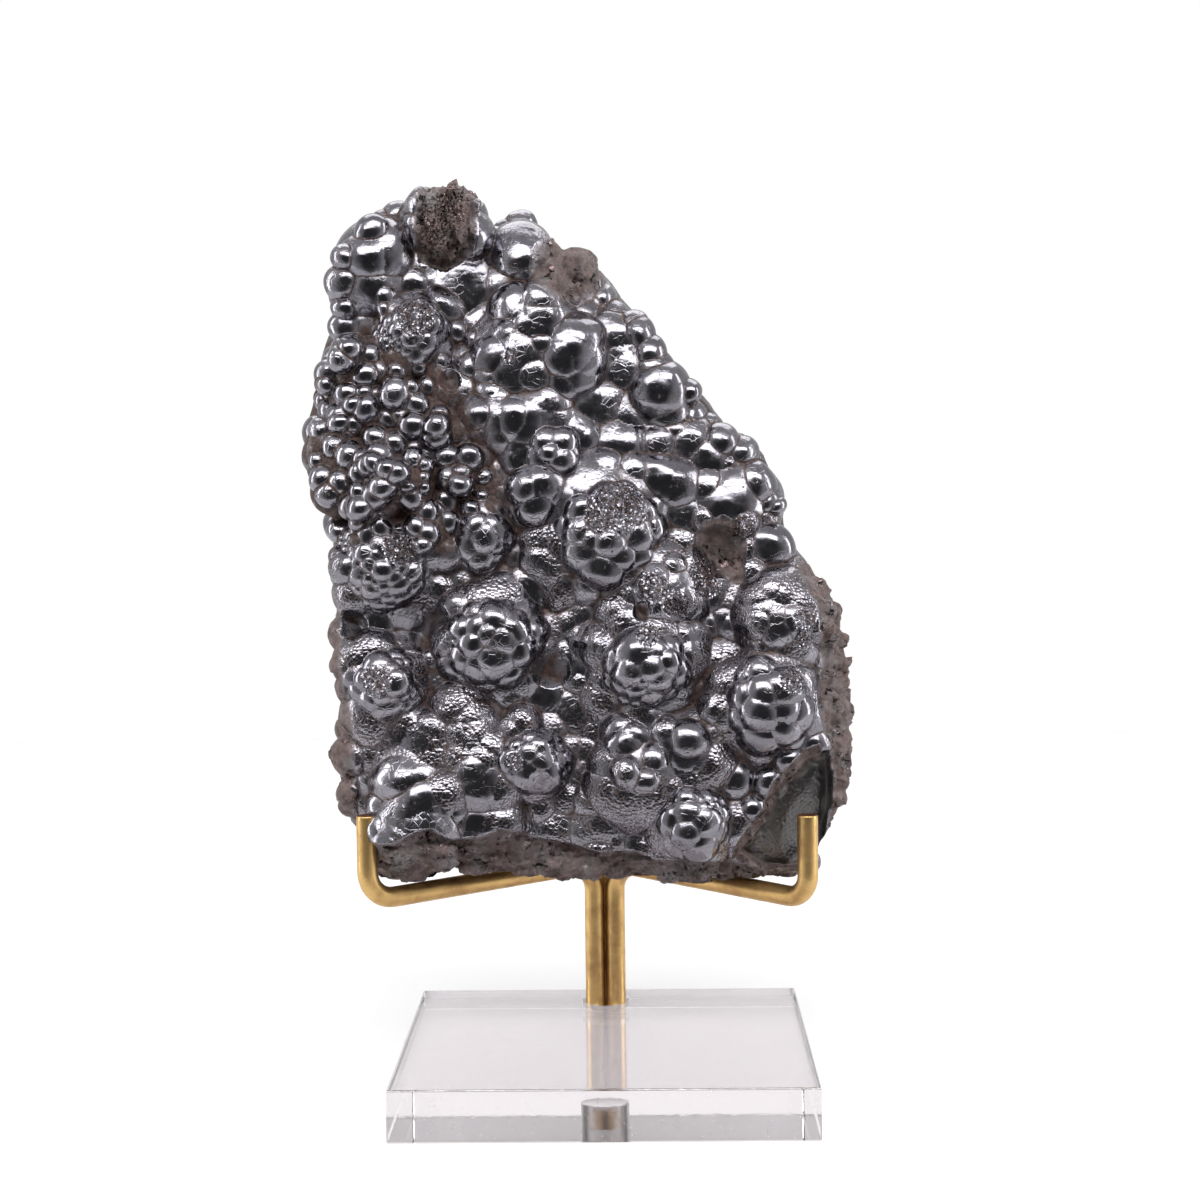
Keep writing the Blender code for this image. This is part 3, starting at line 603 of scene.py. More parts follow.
def fill_sheets(lumps, strew):
    """Shallow domes in all the space that the named ones leave, from the widest to the smallest."""
    low = np.min(OUTLINE, axis=0)
    high = np.max(OUTLINE, axis=0)
    for reach, tries in SHEET_DOMES:
        places = [(strew.uniform(low[0], high[0]), strew.uniform(low[1], high[1])) for _ in range(tries)]
        places = np.array(places)
        places = places[inside_distance(OUTLINE, places) > 0.55 * reach]
        places = places[inside_distance(RECESS, places) < -0.3 * reach]
        for place in places:
            bubbly = is_bubbly(*place)
            upper = place[1] > UPPER_PART
            if (reach < SMALLEST_OPEN or (reach > WIDEST_LOWER and place[1] < UPPER_PART)) and not bubbly:
                continue
            apart = np.linalg.norm(lumps.balls[:, :2] - place, axis=1)
            if np.all(apart > 0.6 * np.array(lumps.reaches) + 0.48 * reach):
                steep = (2.0 if bubbly else 1.0) * strew.uniform(*SHEET_RISE)
                lumps.grow(*place, reach, steep * reach, UPPER_GRADE if upper else SHEET_GRADE)


def bead_knob(lumps, knob, half_width, named, strew):
    """Covers a knob's cap with beads that grow straight out of it, packed until they touch.

    The named ones, each a point and a reach, come first. One side gets coarser beads.
    """
    middle = lumps.balls[knob, :3].copy()
    radius = lumps.balls[knob, 3]
    others = np.delete(lumps.balls, knob, 0)
    wanted = []
    for point, reach in named:
        ahead = (point - middle) / np.linalg.norm(point - middle)
        wanted.append((ahead, min(max(0.8 * reach, 0.9 * half_width), 1.3 * half_width)))
    tries = int(BEAD_TRIES * (radius / half_width) ** 2)
    turn = strew.uniform(0, 2 * math.pi)
    coarse_side = np.array((math.cos(turn), math.sin(turn), 0.0))
    for i in range(tries):
        height = strew.uniform(-0.1, 1.0)
        turn = strew.uniform(0, 2 * math.pi)
        ahead = np.array((*turned_place(0, 0, math.sqrt(1 - height**2), turn), height))
        widest = next(width for share, width in BEAD_CLASSES if i < share * tries)
        coarse = 1 + BEAD_CONTRAST * ahead @ coarse_side
        wanted.append((ahead, half_width * widest * strew.uniform(0.7, 1.0) * coarse))
    points = np.zeros((0, 3))
    sizes = np.zeros(0)
    for ahead, size in wanted:
        size = min(size, WIDEST_BEAD * radius)
        point = middle + ahead * radius
        if np.any(np.linalg.norm(points - point, axis=1) < BEAD_SPACING * (sizes + size)):
            continue
        if np.max(others[:, 3] - np.linalg.norm(others[:, :3] - point, axis=1)) > 0.5:
            continue
        points = np.vstack((points, point))
        sizes = np.append(sizes, size)
        lumps.grow_from(point, ahead, 1.5 * size, strew.uniform(*BEAD_RISE) * size, BEAD_GRADE)


def strew_patch(lumps, strew, middle, patch, count, smallest, largest):
    """Small beads strewn over a round patch, the larger ones first, except on small bubbles."""
    places = []
    for _ in range(4 * count):
        turn = strew.uniform(0, 2 * math.pi)
        places.append(turned_place(0, 0, patch * math.sqrt(strew.random()), turn))
    places = np.array(places) + middle
    places = places[inside_distance(OUTLINE, places) > 1.0]
    kept = np.zeros((0, 3))
    for i, place in enumerate(places):
        size = strew.uniform(0.75, 1.0) * (largest if i < 1.2 * count else 0.5 * (smallest + largest))
        near = np.linalg.norm(kept[:, :2] - place, axis=1) < 0.8 * (kept[:, 2] + size)
        if len(kept) >= count or np.any(near):
            continue
        owner = lumps.surface(*place)[2]
        if owner >= 0 and lumps.grades[owner] < 0.6 and lumps.reaches[owner] < 4.0:
            continue
        kept = np.vstack((kept, (*place, size)))
        lumps.grow(*place, 1.15 * size, size * strew.uniform(0.6, 0.85), PATCH_GRADE, PATCH_TURN)


def grow_lumps():
    lumps = Lumps()
    strew = random.Random(SEED)
    grow_knobs(lumps)
    grow_lobes(lumps, strew)
    named = grow_domes(lumps)
    fill_sheets(lumps, strew)
    for knob, half_width in KNOB_BEADS:
        bead_knob(lumps, knob, half_width, named[knob], strew)
    for across, up, *patch in BEAD_PATCHES:
        strew_patch(lumps, strew, (across, up), *patch)
    return lumps


# The stone's mesh
def section(inset, depth):
    """The outline drawn in by an inset, with a depth for each height."""
    scale = 1 - inset / STONE_REACH
    middle = np.array(STONE_MIDDLE)
    corners = np.array(OUTLINE, float)
    shrunk = middle + (corners - middle) * scale
    return np.column_stack((shrunk, -depth(corners[:, 1])))


def body_rings():
    rings = []
    for inset in RIM_INSETS:
        rings.append(section(inset, lambda up, drop=edge_drop(np.array(inset)): drop + 0 * up))
    for inset, share in SIDE_RINGS:
        rings.append(section(inset, lambda up, share=share: share * thickness(up)))
    return rings


def ball_template(subdivisions):
    shape = bmesh.new()
    bmesh.ops.create_icosphere(shape, subdivisions=subdivisions, radius=1.0)
    vertices = np.array([vertex.co for vertex in shape.verts])
    faces = np.array([[vertex.index for vertex in face.verts] for face in shape.faces])
    shape.free()
    return vertices, faces


def rough_stone_mesh(lumps):
    """The stone's body and all its lumps as separate closed shells in one mesh."""
    rings = body_rings()
    count = len(OUTLINE)
    vertices = [tuple(point) for ring in rings for point in to_world(ring)]
    faces = [list(range(count)), list(range((len(rings) - 1) * count, len(rings) * count))[::-1]]
    for ring in range(len(rings) - 1):
        for i in range(count):
            j = (i + 1) % count
            first = ring * count
            faces.append([first + i, first + count + i, first + count + j, first + j])
    small_ball = ball_template(2)
    large_ball = ball_template(3)
    for across, up, out, radius in lumps.balls:
        ball, ball_faces = large_ball if radius > LARGE_BALL else small_ball
        base = len(vertices)
        vertices.extend(map(tuple, to_world(ball * radius + (across, up, out))))
        faces.extend((ball_faces + base).tolist())
    mesh = bpy.data.meshes.new("rough_stone")
    mesh.from_pydata(vertices, [], faces)
    return mesh


def evaluated(mesh, kind, settings, weights=None):
    """The mesh after one modifier, with weights for its vertices where it takes them."""
    obj = bpy.data.objects.new("work", mesh)
    bpy.context.scene.collection.objects.link(obj)
    if weights is not None:
        group = obj.vertex_groups.new(name="weights")
        for weight in np.unique(weights):
            group.add(np.flatnonzero(weights == weight).tolist(), float(weight), "REPLACE")
    modifier = obj.modifiers.new(kind, kind)
    for name, value in settings.items():
        setattr(modifier, name, value)
    graph = bpy.context.evaluated_depsgraph_get()
    graph.update()
    result = bpy.data.meshes.new_from_object(obj.evaluated_get(graph), depsgraph=graph)
    bpy.data.objects.remove(obj)
    result.materials.clear()
    return result


def read_vectors(items, name):
    values = np.empty(len(items) * 3)
    items.foreach_get(name, values)
    return values.reshape(-1, 3)


def move_points(mesh, points):
    mesh.vertices.foreach_set("co", points.ravel())
    mesh.update()


def snap_to_lumps(steps, lumps):
    """Draws points onto the balls they belong to.

    Gives the points, their normals, which of them moved, how near each is to a seam, and its ball's grade.
    """
    level = -edge_drop(inside_distance(OUTLINE, steps[:, :2]))
    nearest = np.where(steps[:, 2] > -EDGE_DROP - 2, steps[:, 2] - level, NO_LUMP)
    second = np.full(len(steps), NO_LUMP)
    owner = np.full(len(steps), -1)
    normals = np.tile((0.0, 0.0, 1.0), (len(steps), 1))
    others = normals.copy()
    for index, (across, up, out, radius) in enumerate(lumps.balls):
        close = np.abs(steps[:, 0] - across) < radius + 1.5
        close &= np.abs(steps[:, 1] - up) < radius + 1.5
        picked = np.flatnonzero(close)
        offset = steps[picked] - (across, up, out)
        length = np.linalg.norm(offset, axis=1) + TINY
        gap = length - radius
        straight = offset / length[:, None]
        first = gap < nearest[picked]
        chosen = picked[first]
        second[chosen] = nearest[chosen]
        others[chosen] = normals[chosen]
        nearest[chosen] = gap[first]
        owner[chosen] = index
        normals[chosen] = straight[first]
        next_best = ~first & (gap < second[picked])
        chosen = picked[next_best]
        second[chosen] = gap[next_best]
        others[chosen] = straight[next_best]
    on_lump = (owner >= 0) & (np.abs(nearest) < SNAP_REACH)
    moved = steps.copy()
    moved[on_lump] -= normals[on_lump] * nearest[on_lump, None]
    turn = np.linalg.norm(normals - others, axis=1)
    away = (second - nearest) / np.maximum(turn, 0.05)
    seam = np.exp(-((away / SEAM_WIDTH) ** 2)) * smooth_step(0.1, 0.7, turn)
    grades = np.array(lumps.grades + [SHEET_GRADE])[owner]
    return moved, normals, on_lump, seam, grades


def hollow_depth(places):
    depth = np.zeros(len(places))
    for across, up, reach, deepest in HOLLOWS:
        beside = ((places[:, 0] - across) ** 2 + (places[:, 1] - up) ** 2) / reach**2
        depth = np.maximum(depth, deepest * np.clip(1 - beside, 0, 1))
    return depth


def broken_share(steps):
    """Where the rock is broken instead of crusted, from 0 to 1."""
    places = steps[:, :2]
    share = smooth_step(EDGE_DROP * 0.9, EDGE_DROP * 1.6, -steps[:, 2])
    for area, outside, inside in BROKEN_AREAS:
        share = np.maximum(share, smooth_step(outside, inside, inside_distance(area, places)))
    share = np.maximum(share, spots_near(CALM_ROCK[:1], places, 3.0))
    ledge = 1 - smooth_step(1.0, 2.0, np.abs(inside_distance(RECESS, places) + 0.3))
    return np.maximum(share, ledge * (places[:, 0] < LEDGE_END))


def back_share(steps):
    """Where the stone's sides and back are, from 0 to 1."""
    return smooth_step(EDGE_DROP + 1.0, EDGE_DROP + 3.5, -steps[:, 2])


def break_back(mesh):
    """Large broken faces on the sides and back. They only take rock away, and none where rods carry it."""
    points = read_vectors(mesh.vertices, "co")
    beside_rest = np.hypot(points[:, 0] - STEM.x, np.maximum(points[:, 2] - REST_TIP.z, 0.0))
    clear = np.minimum(beside_rest, points[:, 2] - foot_height(points))
    share = back_share(to_steps(points)) * smooth_step(ROD, 3 * ROD, clear)
    behind = np.flatnonzero(share > 0)
    height = -BACK_LOSS
    for size, step in BACK_FACES:
        height = height + step * facets(points[behind], size)
    loss = np.minimum(height, 0.0) * share[behind]
    points[behind] += read_vectors(mesh.vertex_normals, "vector")[behind] * loss[:, None]
    move_points(mesh, points)


def break_front(mesh, points, steps, broken, band):
    """Moves the points of the broken rock in front and round the rim onto small broken faces."""
    rough = np.flatnonzero(broken > LEAST_BROKEN)
    picked = points[rough]
    places = steps[rough, :2]
    height = facets(picked, 6.5 * MM) + 0.3 * facets(picked, 2.4 * MM)
    crown = picked[inside_distance(CROWN_ROCK, places) > -0.5]
    crown_height = 1.3 * facets(crown, 4.0 * MM, CROWN_COLUMNS) + 0.5 * facets(crown, 1.8 * MM)
    height[inside_distance(CROWN_ROCK, places) > -0.5] = crown_height
    layers = picked[band[rough] > 0.3]
    layer_height = 0.9 * facets(layers, 4.5 * MM, FOOT_LAYERS) + 0.35 * facets(layers, 1.8 * MM)
    height[band[rough] > 0.3] = layer_height
    calm = np.maximum(spots_near(CALM_ROCK, places), inside_distance(LEFT_SIDE, places) > -2)
    height = (height - 1.0) * (1 - 0.75 * calm)
    height *= broken[rough] * (1 - back_share(to_steps(picked)))
    points[rough] += read_vectors(mesh.vertex_normals, "vector")[rough] * (height * MM)[:, None]


def neighbour_mean(values, edges, rounds):
    """Values smoothed over the mesh."""
    count = np.bincount(edges.ravel(), minlength=len(values))
    for _ in range(rounds):
        total = np.bincount(edges[:, 0], values[edges[:, 1]], len(values))
        total += np.bincount(edges[:, 1], values[edges[:, 0]], len(values))
        values = 0.5 * values + 0.5 * total / np.maximum(count, 1)
    return values


def stone_mesh(lumps):
    """The stone and its lumps as one skin, with its back broken and most triangles kept for its face."""
    voxel = SKIN_VOXEL
    skin = evaluated(rough_stone_mesh(lumps), "REMESH", {"mode": "VOXEL", "voxel_size": voxel})
    behind = to_steps(read_vectors(skin.vertices, "co"))[:, 2] < -EDGE_DROP - 1.5
    break_back(skin)
    ratio = min(1.0, SKIN_TRIANGLES / (2 * len(skin.polygons)))
    settings = {"ratio": ratio, "vertex_group": "weights", "vertex_group_factor": 2.0}
    return evaluated(skin, "DECIMATE", settings, behind.astype(float))


def make_stone():
    noise.seed_set(SEED)
    lumps = grow_lumps()
    skin = stone_mesh(lumps)
    steps = to_steps(read_vectors(skin.vertices, "co"))
    steps, lump_normals, on_lump, seam, grades = snap_to_lumps(steps, lumps)
    places = steps[:, :2]
    front = steps[:, 2] > -EDGE_DROP
    broken = broken_share(steps)
    recess = smooth_step(-0.3, 1.4, inside_distance(RECESS, places))
    band = smooth_step(-0.3, 1.2, inside_distance(FOOT_BAND, places))
    grainy = spots_near(GRAINY_SPOTS, places, 3.0) * front
    depth = hollow_depth(places) * (1 - recess) + RECESS_DEPTH * recess + FOOT_BAND_DEPTH * band
    sink = np.where(front, depth, 0.0)
    steps[:, 2] -= sink
    points = to_world(steps)
    moves, bends = swell(points)
    points += moves
    lump_normals = lump_normals @ AXES
    lump_normals -= np.einsum("nij,ni->nj", bends, lump_normals)
    break_front(skin, points, steps, broken, band)
    low = foot_height(points)
    under = points[:, 2] < low
    points[under, 2] = low[under] + (points[under, 2] - low[under]) * FOOT_RELIEF
    move_points(skin, points)

    edges = np.empty(len(skin.edges) * 2, int)
    skin.edges.foreach_get("vertices", edges)
    edges = edges.reshape(-1, 2)
    out = to_steps(points)[:, 2]
    # Valleys: how far a point lies below its smoothed neighbours, darkened with brown that is part dust and
    # part painted shade
    valley = np.clip((neighbour_mean(out, edges, VALLEY_ROUNDS) - out) / VALLEY_DEPTH, 0.0, 1.0)
    ground = smooth_step(-4.0, 4.0, inside_distance(BROWN_GROUND, places)) * (grades > 0.7) * front
    # Seams: darkened with brown that is part dust and part painted shade of the creases, more on some grades
    seam *= np.interp(grades, *SEAM_STRENGTHS) * front * (1 - recess)
    attributes = {
        "seam": seam,
        "valley": valley,
        "dusty": neighbour_mean(ground, edges, 2),
        "broken": np.clip(broken, 0, 1),
        "grainy": grainy,
        "recess": recess,
        "cobble": np.where(on_lump, grades, SHEET_GRADE),
    }
    for name, values in attributes.items():
        layer = skin.attributes.new(name, "FLOAT", "POINT")
        layer.data.foreach_set("value", values.astype(np.float32))

    exact = on_lump & (broken < LEAST_BROKEN) & (sink < 0.02)
    normals = np.where(exact[:, None], lump_normals, read_vectors(skin.vertex_normals, "vector"))
    open_share = np.where(on_lump & (grades > 0.85), 1.0, 0.3) * (1 - np.clip(broken, 0, 1)) * front
    lift = (0.05 + 0.13 * smooth_step(95, 130, places[:, 1])) * open_share
    normals = normals + lift[:, None] * np.array(tuple(UP))
    normals /= np.linalg.norm(normals, axis=1)[:, None] + TINY
    skin.shade_smooth()
    skin.normals_split_custom_set_from_vertices(normals.tolist())
    skin.name = "hematite_skin"
    new_piece("hematite_skin", skin, "hematite", "hematite", hematite_material())


# Rods
def arc(corner, before, after, radius, count=12):
    """Points of a bend of this radius, between the directions in which a rod reaches and leaves a corner."""
    turn = before.angle(after)
    start = corner - before * radius * math.tan(turn / 2)
    inward = (after - before * before.dot(after)).normalized()
    centre = start + inward * radius
    points = []
    for i in range(count + 1):
        angle = turn * i / count
        points.append(centre - inward * radius * math.cos(angle) + before * radius * math.sin(angle))
    return points


def stem_place(turn):
    return STEM + Vector((math.sin(turn), -math.cos(turn), 0)) * (ROD_PITCH / math.sqrt(3))


def rod_foot(place):
    return Vector((place.x, place.y, BASE_THICK - BORE_DEPTH + ROD_GAP))


def arm_path(turn, hook, heel_height, hook_bend):
    place = stem_place(turn)
    elbow = Vector((place.x, place.y, ARM_HEIGHT))
    heel = Vector((hook.x, hook.y, heel_height))
    rise = Vector((0, 0, 1))
    along = (heel - elbow).normalized()
    return [rod_foot(place), *arc(elbow, rise, along, STEM_BEND), *arc(heel, along, rise, hook_bend), hook]


def rest_path():
    place = stem_place(math.pi)
    return [rod_foot(place), Vector((place.x, place.y, REST_BEND_HEIGHT)), REST_TIP]


def even_path(path, spacing):
    """The same line with points no further apart than the spacing."""
    points = [path[0]]
    for start, end in zip(path, path[1:]):
        count = max(1, math.ceil((end - start).length / spacing))
        points += [start.lerp(end, i / count) for i in range(1, count + 1)]
    return points


def rod_mesh(name, path):
    """A round rod along a path, with softly worn ends, whose cut faces are marked for its material."""
    line = even_path(path, ROD_SPACING)
    shape = bmesh.new()
    cut_layer = shape.verts.layers.float.new("cut")
    direction = (line[1] - line[0]).normalized()
    side = direction.orthogonal().normalized()
    rings = []
    for i, point in enumerate(line):
        ahead = (line[min(i + 1, len(line) - 1)] - line[max(i - 1, 0)]).normalized()
        side = direction.rotation_difference(ahead) @ side
        direction = ahead
        other = direction.cross(side)
        steps = [(0.0, 0.0)]
        if i == len(line) - 1:
            steps = [(ROD_WEAR, 0.0), (ROD_WEAR * 0.3, ROD_WEAR * 0.3), (0.0, ROD_WEAR)]
        elif i == 0:
            steps = [(0.0, ROD_WEAR), (-ROD_WEAR * 0.3, ROD_WEAR * 0.3), (-ROD_WEAR, 0.0)]
        for back, inward in steps:
            ring = []
            for k in range(ROD_SIDES):
                turn = 2 * math.pi * k / ROD_SIDES
                spoke = side * math.cos(turn) + other * math.sin(turn)
                vertex = shape.verts.new(point - direction * back + spoke * (ROD / 2 - inward))
                vertex[cut_layer] = 1.0 if inward > ROD_WEAR * 0.5 else 0.0
                ring.append(vertex)
            rings.append(ring)
    for first, second in zip(rings, rings[1:]):
        for k in range(ROD_SIDES):
            j = (k + 1) % ROD_SIDES
            shape.faces.new((first[k], first[j], second[j], second[k])).smooth = True
    shape.faces.new(rings[0][::-1])
    shape.faces.new(rings[-1])
    bmesh.ops.recalc_face_normals(shape, faces=shape.faces)
    return finished_mesh(name, shape)


# Clear base
def finished_mesh(name, shape):
    mesh = bpy.data.meshes.new(name)
    shape.to_mesh(mesh)
    shape.free()
    return mesh


def base_mesh():
    """The block with its pocket, whose wall and floor are frosted."""
    shape = bmesh.new()
    bmesh.ops.create_cube(shape, size=1.0)
    bmesh.ops.scale(shape, vec=(BASE_SIDE, BASE_SIDE, BASE_THICK), verts=shape.verts)
    bmesh.ops.translate(shape, vec=(0, 0, BASE_THICK / 2), verts=shape.verts)
    bmesh.ops.bevel(shape, geom=shape.edges[:], offset=BASE_EDGE, segments=3, profile=0.5, affect="EDGES")
    block = finished_mesh("acrylic_block", shape)
    shape = bmesh.new()
    bmesh.ops.create_cone(
        shape,
        cap_ends=True,
        segments=BORE_SIDES,
        radius1=BORE_DIAMETER / 2,
        radius2=BORE_DIAMETER / 2,
        depth=2 * BORE_DEPTH,
        matrix=Matrix.Translation(STEM + Vector((0, 0, BASE_THICK))),
    )
    cutter = bpy.data.objects.new("bore", finished_mesh("bore", shape))
    bpy.context.scene.collection.objects.link(cutter)
    mesh = evaluated(block, "BOOLEAN", {"operation": "DIFFERENCE", "solver": "EXACT", "object": cutter})
    bpy.data.objects.remove(cutter)
    for face in mesh.polygons:
        middle = face.center
        beside = (middle.xy - STEM.xy).length
        in_bore = beside < BORE_DIAMETER / 2 + 0.01 * MM and middle.z < BASE_THICK - 0.001 * MM
        face.material_index = 1 if in_bore and middle.z > 1 * MM else 0
        face.use_smooth = abs(face.normal.z) < 0.999 and in_bore
    return mesh


def new_piece(name, mesh, node, slot, *materials):
    for material in materials:
        mesh.materials.append(material)
    piece = bpy.data.objects.new(name, mesh)
    bpy.context.scene.collection.objects.link(piece)
    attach(piece, "root")
    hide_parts(node)
    return piece


# Materials
class Nodes:
    """A node tree, with short ways to add its nodes."""

    def __init__(self, tree):
        self.tree = tree
        self.coords = self.add("ShaderNodeTexCoord")
        self.place = self.coords.outputs["Object"]

    def add(self, kind, **settings):
        node = self.tree.nodes.new(kind)
        for name, value in settings.items():
            setattr(node, name, value)
        return node

    def feed(self, socket, value):
        if isinstance(value, bpy.types.NodeSocket):
            self.tree.links.new(value, socket)
        else:
            socket.default_value = value

    def feed_all(self, node, values):
        for socket, value in zip(node.inputs, values):
            self.feed(socket, value)
        return node.outputs[0]

    def attribute(self, name):
        return self.add("ShaderNodeAttribute", attribute_name=name).outputs["Fac"]

    def math(self, operation, *values):
        return self.feed_all(self.add("ShaderNodeMath", operation=operation), values)

    def product(self, first, second):
        return self.math("MULTIPLY", first, second)

    def most(self, first, second):
        return self.math("MAXIMUM", first, second)

    def vector(self, operation, *values):
        node = self.add("ShaderNodeVectorMath", operation=operation)
        self.feed_all(node, values)
        return node.outputs["Value" if operation == "DOT_PRODUCT" else "Vector"]

    def noise(self, size, detail=3.0, rough=0.55, source=None):
        """Noise from 0 to 1 whose grains are this size, in metres."""
        node = self.add("ShaderNodeTexNoise")
        self.feed(node.inputs["Vector"], source or self.place)
        node.inputs["Scale"].default_value = 1 / size
        node.inputs["Detail"].default_value = detail
        node.inputs["Roughness"].default_value = rough
        return node.outputs["Fac"]

    def cells(self, size, feature="F1"):
        """Cells of this size, in metres."""
        node = self.add("ShaderNodeTexVoronoi", feature=feature)
        self.feed(node.inputs["Vector"], self.place)
        node.inputs["Scale"].default_value = 1 / size
        return node

    def facets(self, size, tilt):
        """Flat faces of this size, each with its own tilt: a height in metres and a share for each face."""
        node = self.cells(size)
        offset = self.vector("SUBTRACT", self.place, node.outputs["Position"])
        lean = self.vector("MULTIPLY_ADD", node.outputs["Color"], (2 * tilt,) * 3, (-tilt,) * 3)
        share = self.add("ShaderNodeSeparateColor")
        self.feed(share.inputs[0], node.outputs["Color"])
        return self.vector("DOT_PRODUCT", offset, lean), share.outputs[2]

    def range(self, value, low, high, to_low=0.0, to_high=1.0):
        node = self.add("ShaderNodeMapRange", interpolation_type="SMOOTHSTEP")
        return self.feed_all(node, (value, low, high, to_low, to_high))

    def mix(self, share, first, second):
        """Mixes two colours."""
        node = self.add("ShaderNodeMix", data_type="RGBA")
        self.feed(node.inputs["Factor"], share)
        for socket, value in ((node.inputs["A"], first), (node.inputs["B"], second)):
            self.feed(socket, value if isinstance(value, bpy.types.NodeSocket) else (*value, 1.0))
        return node.outputs["Result"]

    def blend(self, share, first, second):
        """Mixes two numbers."""
        node = self.add("ShaderNodeMix", data_type="FLOAT")
        for name, value in (("Factor", share), ("A", first), ("B", second)):
            self.feed(node.inputs[name], value)
        return node.outputs["Result"]

    def bump(self, height, distance, strength=1.0, normal=None):
        node = self.add("ShaderNodeBump")
        node.inputs["Distance"].default_value = distance
        self.feed(node.inputs["Strength"], strength)
        self.feed(node.inputs["Height"], height)
        if normal:
            self.feed(node.inputs["Normal"], normal)
        return node.outputs[0]

    def set(self, **values):
        """Feeds the Principled shader's sockets, named with _ for a space."""
        for name, value in values.items():
            self.feed(self.tree.nodes["Principled BSDF"].inputs[name.replace("_", " ")], value)


def new_material(name):
    material = bpy.data.materials.new(name)
    material.use_nodes = True
    return material, Nodes(material.node_tree)


def hematite_material():
    """Steel-grey crust with brown in its seams and valleys, part dust and part painted shade of the creases,
    and dull reddish rock where it is broken.
    """
    material, n = new_material("hematite")
    grainy = n.attribute("grainy")
    broken = n.attribute("broken")
    cobble = n.attribute("cobble")
    recess = n.attribute("recess")
    whole = n.math("SUBTRACT", 1.0, broken)
    patchy = n.noise(9 * MM)
    fine = n.noise(0.9 * MM)
    pebbles = n.cells(PEBBLE, "SMOOTH_F1")
    pebbles.inputs["Smoothness"].default_value = 0.2
    pebble_edge = n.cells(PEBBLE, "DISTANCE_TO_EDGE").outputs["Distance"]
    net = n.cells(2.2 * MM, "DISTANCE_TO_EDGE").outputs["Distance"]
    net_line = n.range(net, 0.0, 0.05, 1.0, 0.0)
    sparkle, sparkle_share = n.facets(0.5 * MM, 0.9)
    faces, face_share = n.facets(3.0 * MM, 0.42)
    chips, chip_share = n.facets(1.0 * MM, 0.2)
    sheet = n.product(n.range(cobble, 0.8, 1.0), n.range(n.noise(12 * MM, 2.0), 0.38, 0.56, 0.15, 1.0))

    # The brown in seams and valleys is part dust and part painted shade of the creases; the noise, pebble
    # lines, grains and dusty ground add dust
    darker_share = n.product(n.attribute("seam"), n.range(patchy, 0.25, 0.75, 0.35, 1.0))
    darker_share = n.most(darker_share, n.product(n.attribute("valley"), n.range(patchy, 0.3, 0.7, 0.2, 1.0)))
    darker_share = n.most(darker_share, n.range(n.noise(1.6 * MM, 2.0), 0.62, 0.72, 0.0, 0.35))
    pebble_line = n.product(n.range(pebble_edge, 0.0, 0.1, 1.0, 0.0), sheet)
    darker_share = n.most(darker_share, n.product(pebble_line, n.range(fine, 0.4, 0.6, 0.1, 0.8)))
    darker_share = n.most(darker_share, n.product(grainy, n.range(fine, 0.5, 0.65, 0.0, 0.6)))
    darker_share = n.most(darker_share, n.product(n.attribute("dusty"), n.range(n.noise(3 * MM), 0.3, 0.6, 0.2, 0.9)))

    steel = n.mix(n.range(patchy, 0.35, 0.7), *STEEL)
    steel = n.mix(n.product(n.range(n.noise(4 * MM, 2.0), 0.5, 0.75), 0.3), steel, WARM_STEEL)
    brown = n.mix(n.range(fine, 0.35, 0.65), *BROWN_DUST_AND_SHADE)
    crust = n.mix(n.range(darker_share, 0.05, 0.5), steel, brown)
    crust = n.mix(n.product(net_line, 0.3), crust, CRACK)
    crust = n.mix(n.product(recess, n.range(patchy, 0.3, 0.6, 0.6, 1.0)), crust, MOULD)
    rock = n.mix(n.range(n.noise(3 * MM, 4.0, 0.6), 0.3, 0.7), *ROCK)
    rock = n.mix(n.product(face_share, n.range(patchy, 0.4, 0.6)), rock, ROCK_FACE)
    n.set(Base_Color=n.mix(broken, crust, rock))

    glints = n.range(n.product(face_share, chip_share), 0.45, 0.6)
    glints = n.most(glints, n.product(grainy, n.range(sparkle_share, 0.25, 0.6)))
    metal = n.range(darker_share, 0.1, 0.55, 1.0, 0.0)
    n.set(Metallic=n.blend(broken, metal, n.range(glints, 0.0, 1.0, 0.15, 0.95)))
    gloss = n.blend(n.range(n.noise(3 * MM), 0.3, 0.8), 0.11, 0.26)
    gloss = n.blend(darker_share, gloss, 0.75)
    gloss = n.blend(recess, gloss, 0.36)
    gloss = n.blend(grainy, gloss, n.blend(sparkle_share, 0.12, 0.35))
    n.set(Roughness=n.blend(broken, gloss, n.blend(glints, 0.6, 0.26)))
    n.set(Specular_IOR_Level=0.3)

    wave = n.noise(4 * MM, 1.0, 0.5, n.vector("MULTIPLY", n.place, (0.8, 1.0, 1.3)))
    distance = pebbles.outputs["Distance"]
    pebble_height = n.math("SUBTRACT", 1.0, n.product(distance, distance))
    normal = n.bump(wave, 0.3 * MM, n.range(cobble, 0.5, 1.0, 0.15, 0.9))
    normal = n.bump(pebble_height, 0.19 * MM, n.product(sheet, whole), normal)
    normal = n.bump(net_line, -0.04 * MM, n.product(n.range(patchy, 0.4, 0.7), whole), normal)
    normal = n.bump(n.noise(1.7 * MM, 2.0), 0.02 * MM, whole, normal)
    normal = n.bump(sparkle, 1.0, grainy, normal)
    normal = n.bump(faces, 1.0, broken, normal)
    normal = n.bump(chips, 1.0, broken, normal)
    n.set(Normal=n.bump(fine, 0.1 * MM, broken, normal))
    return material


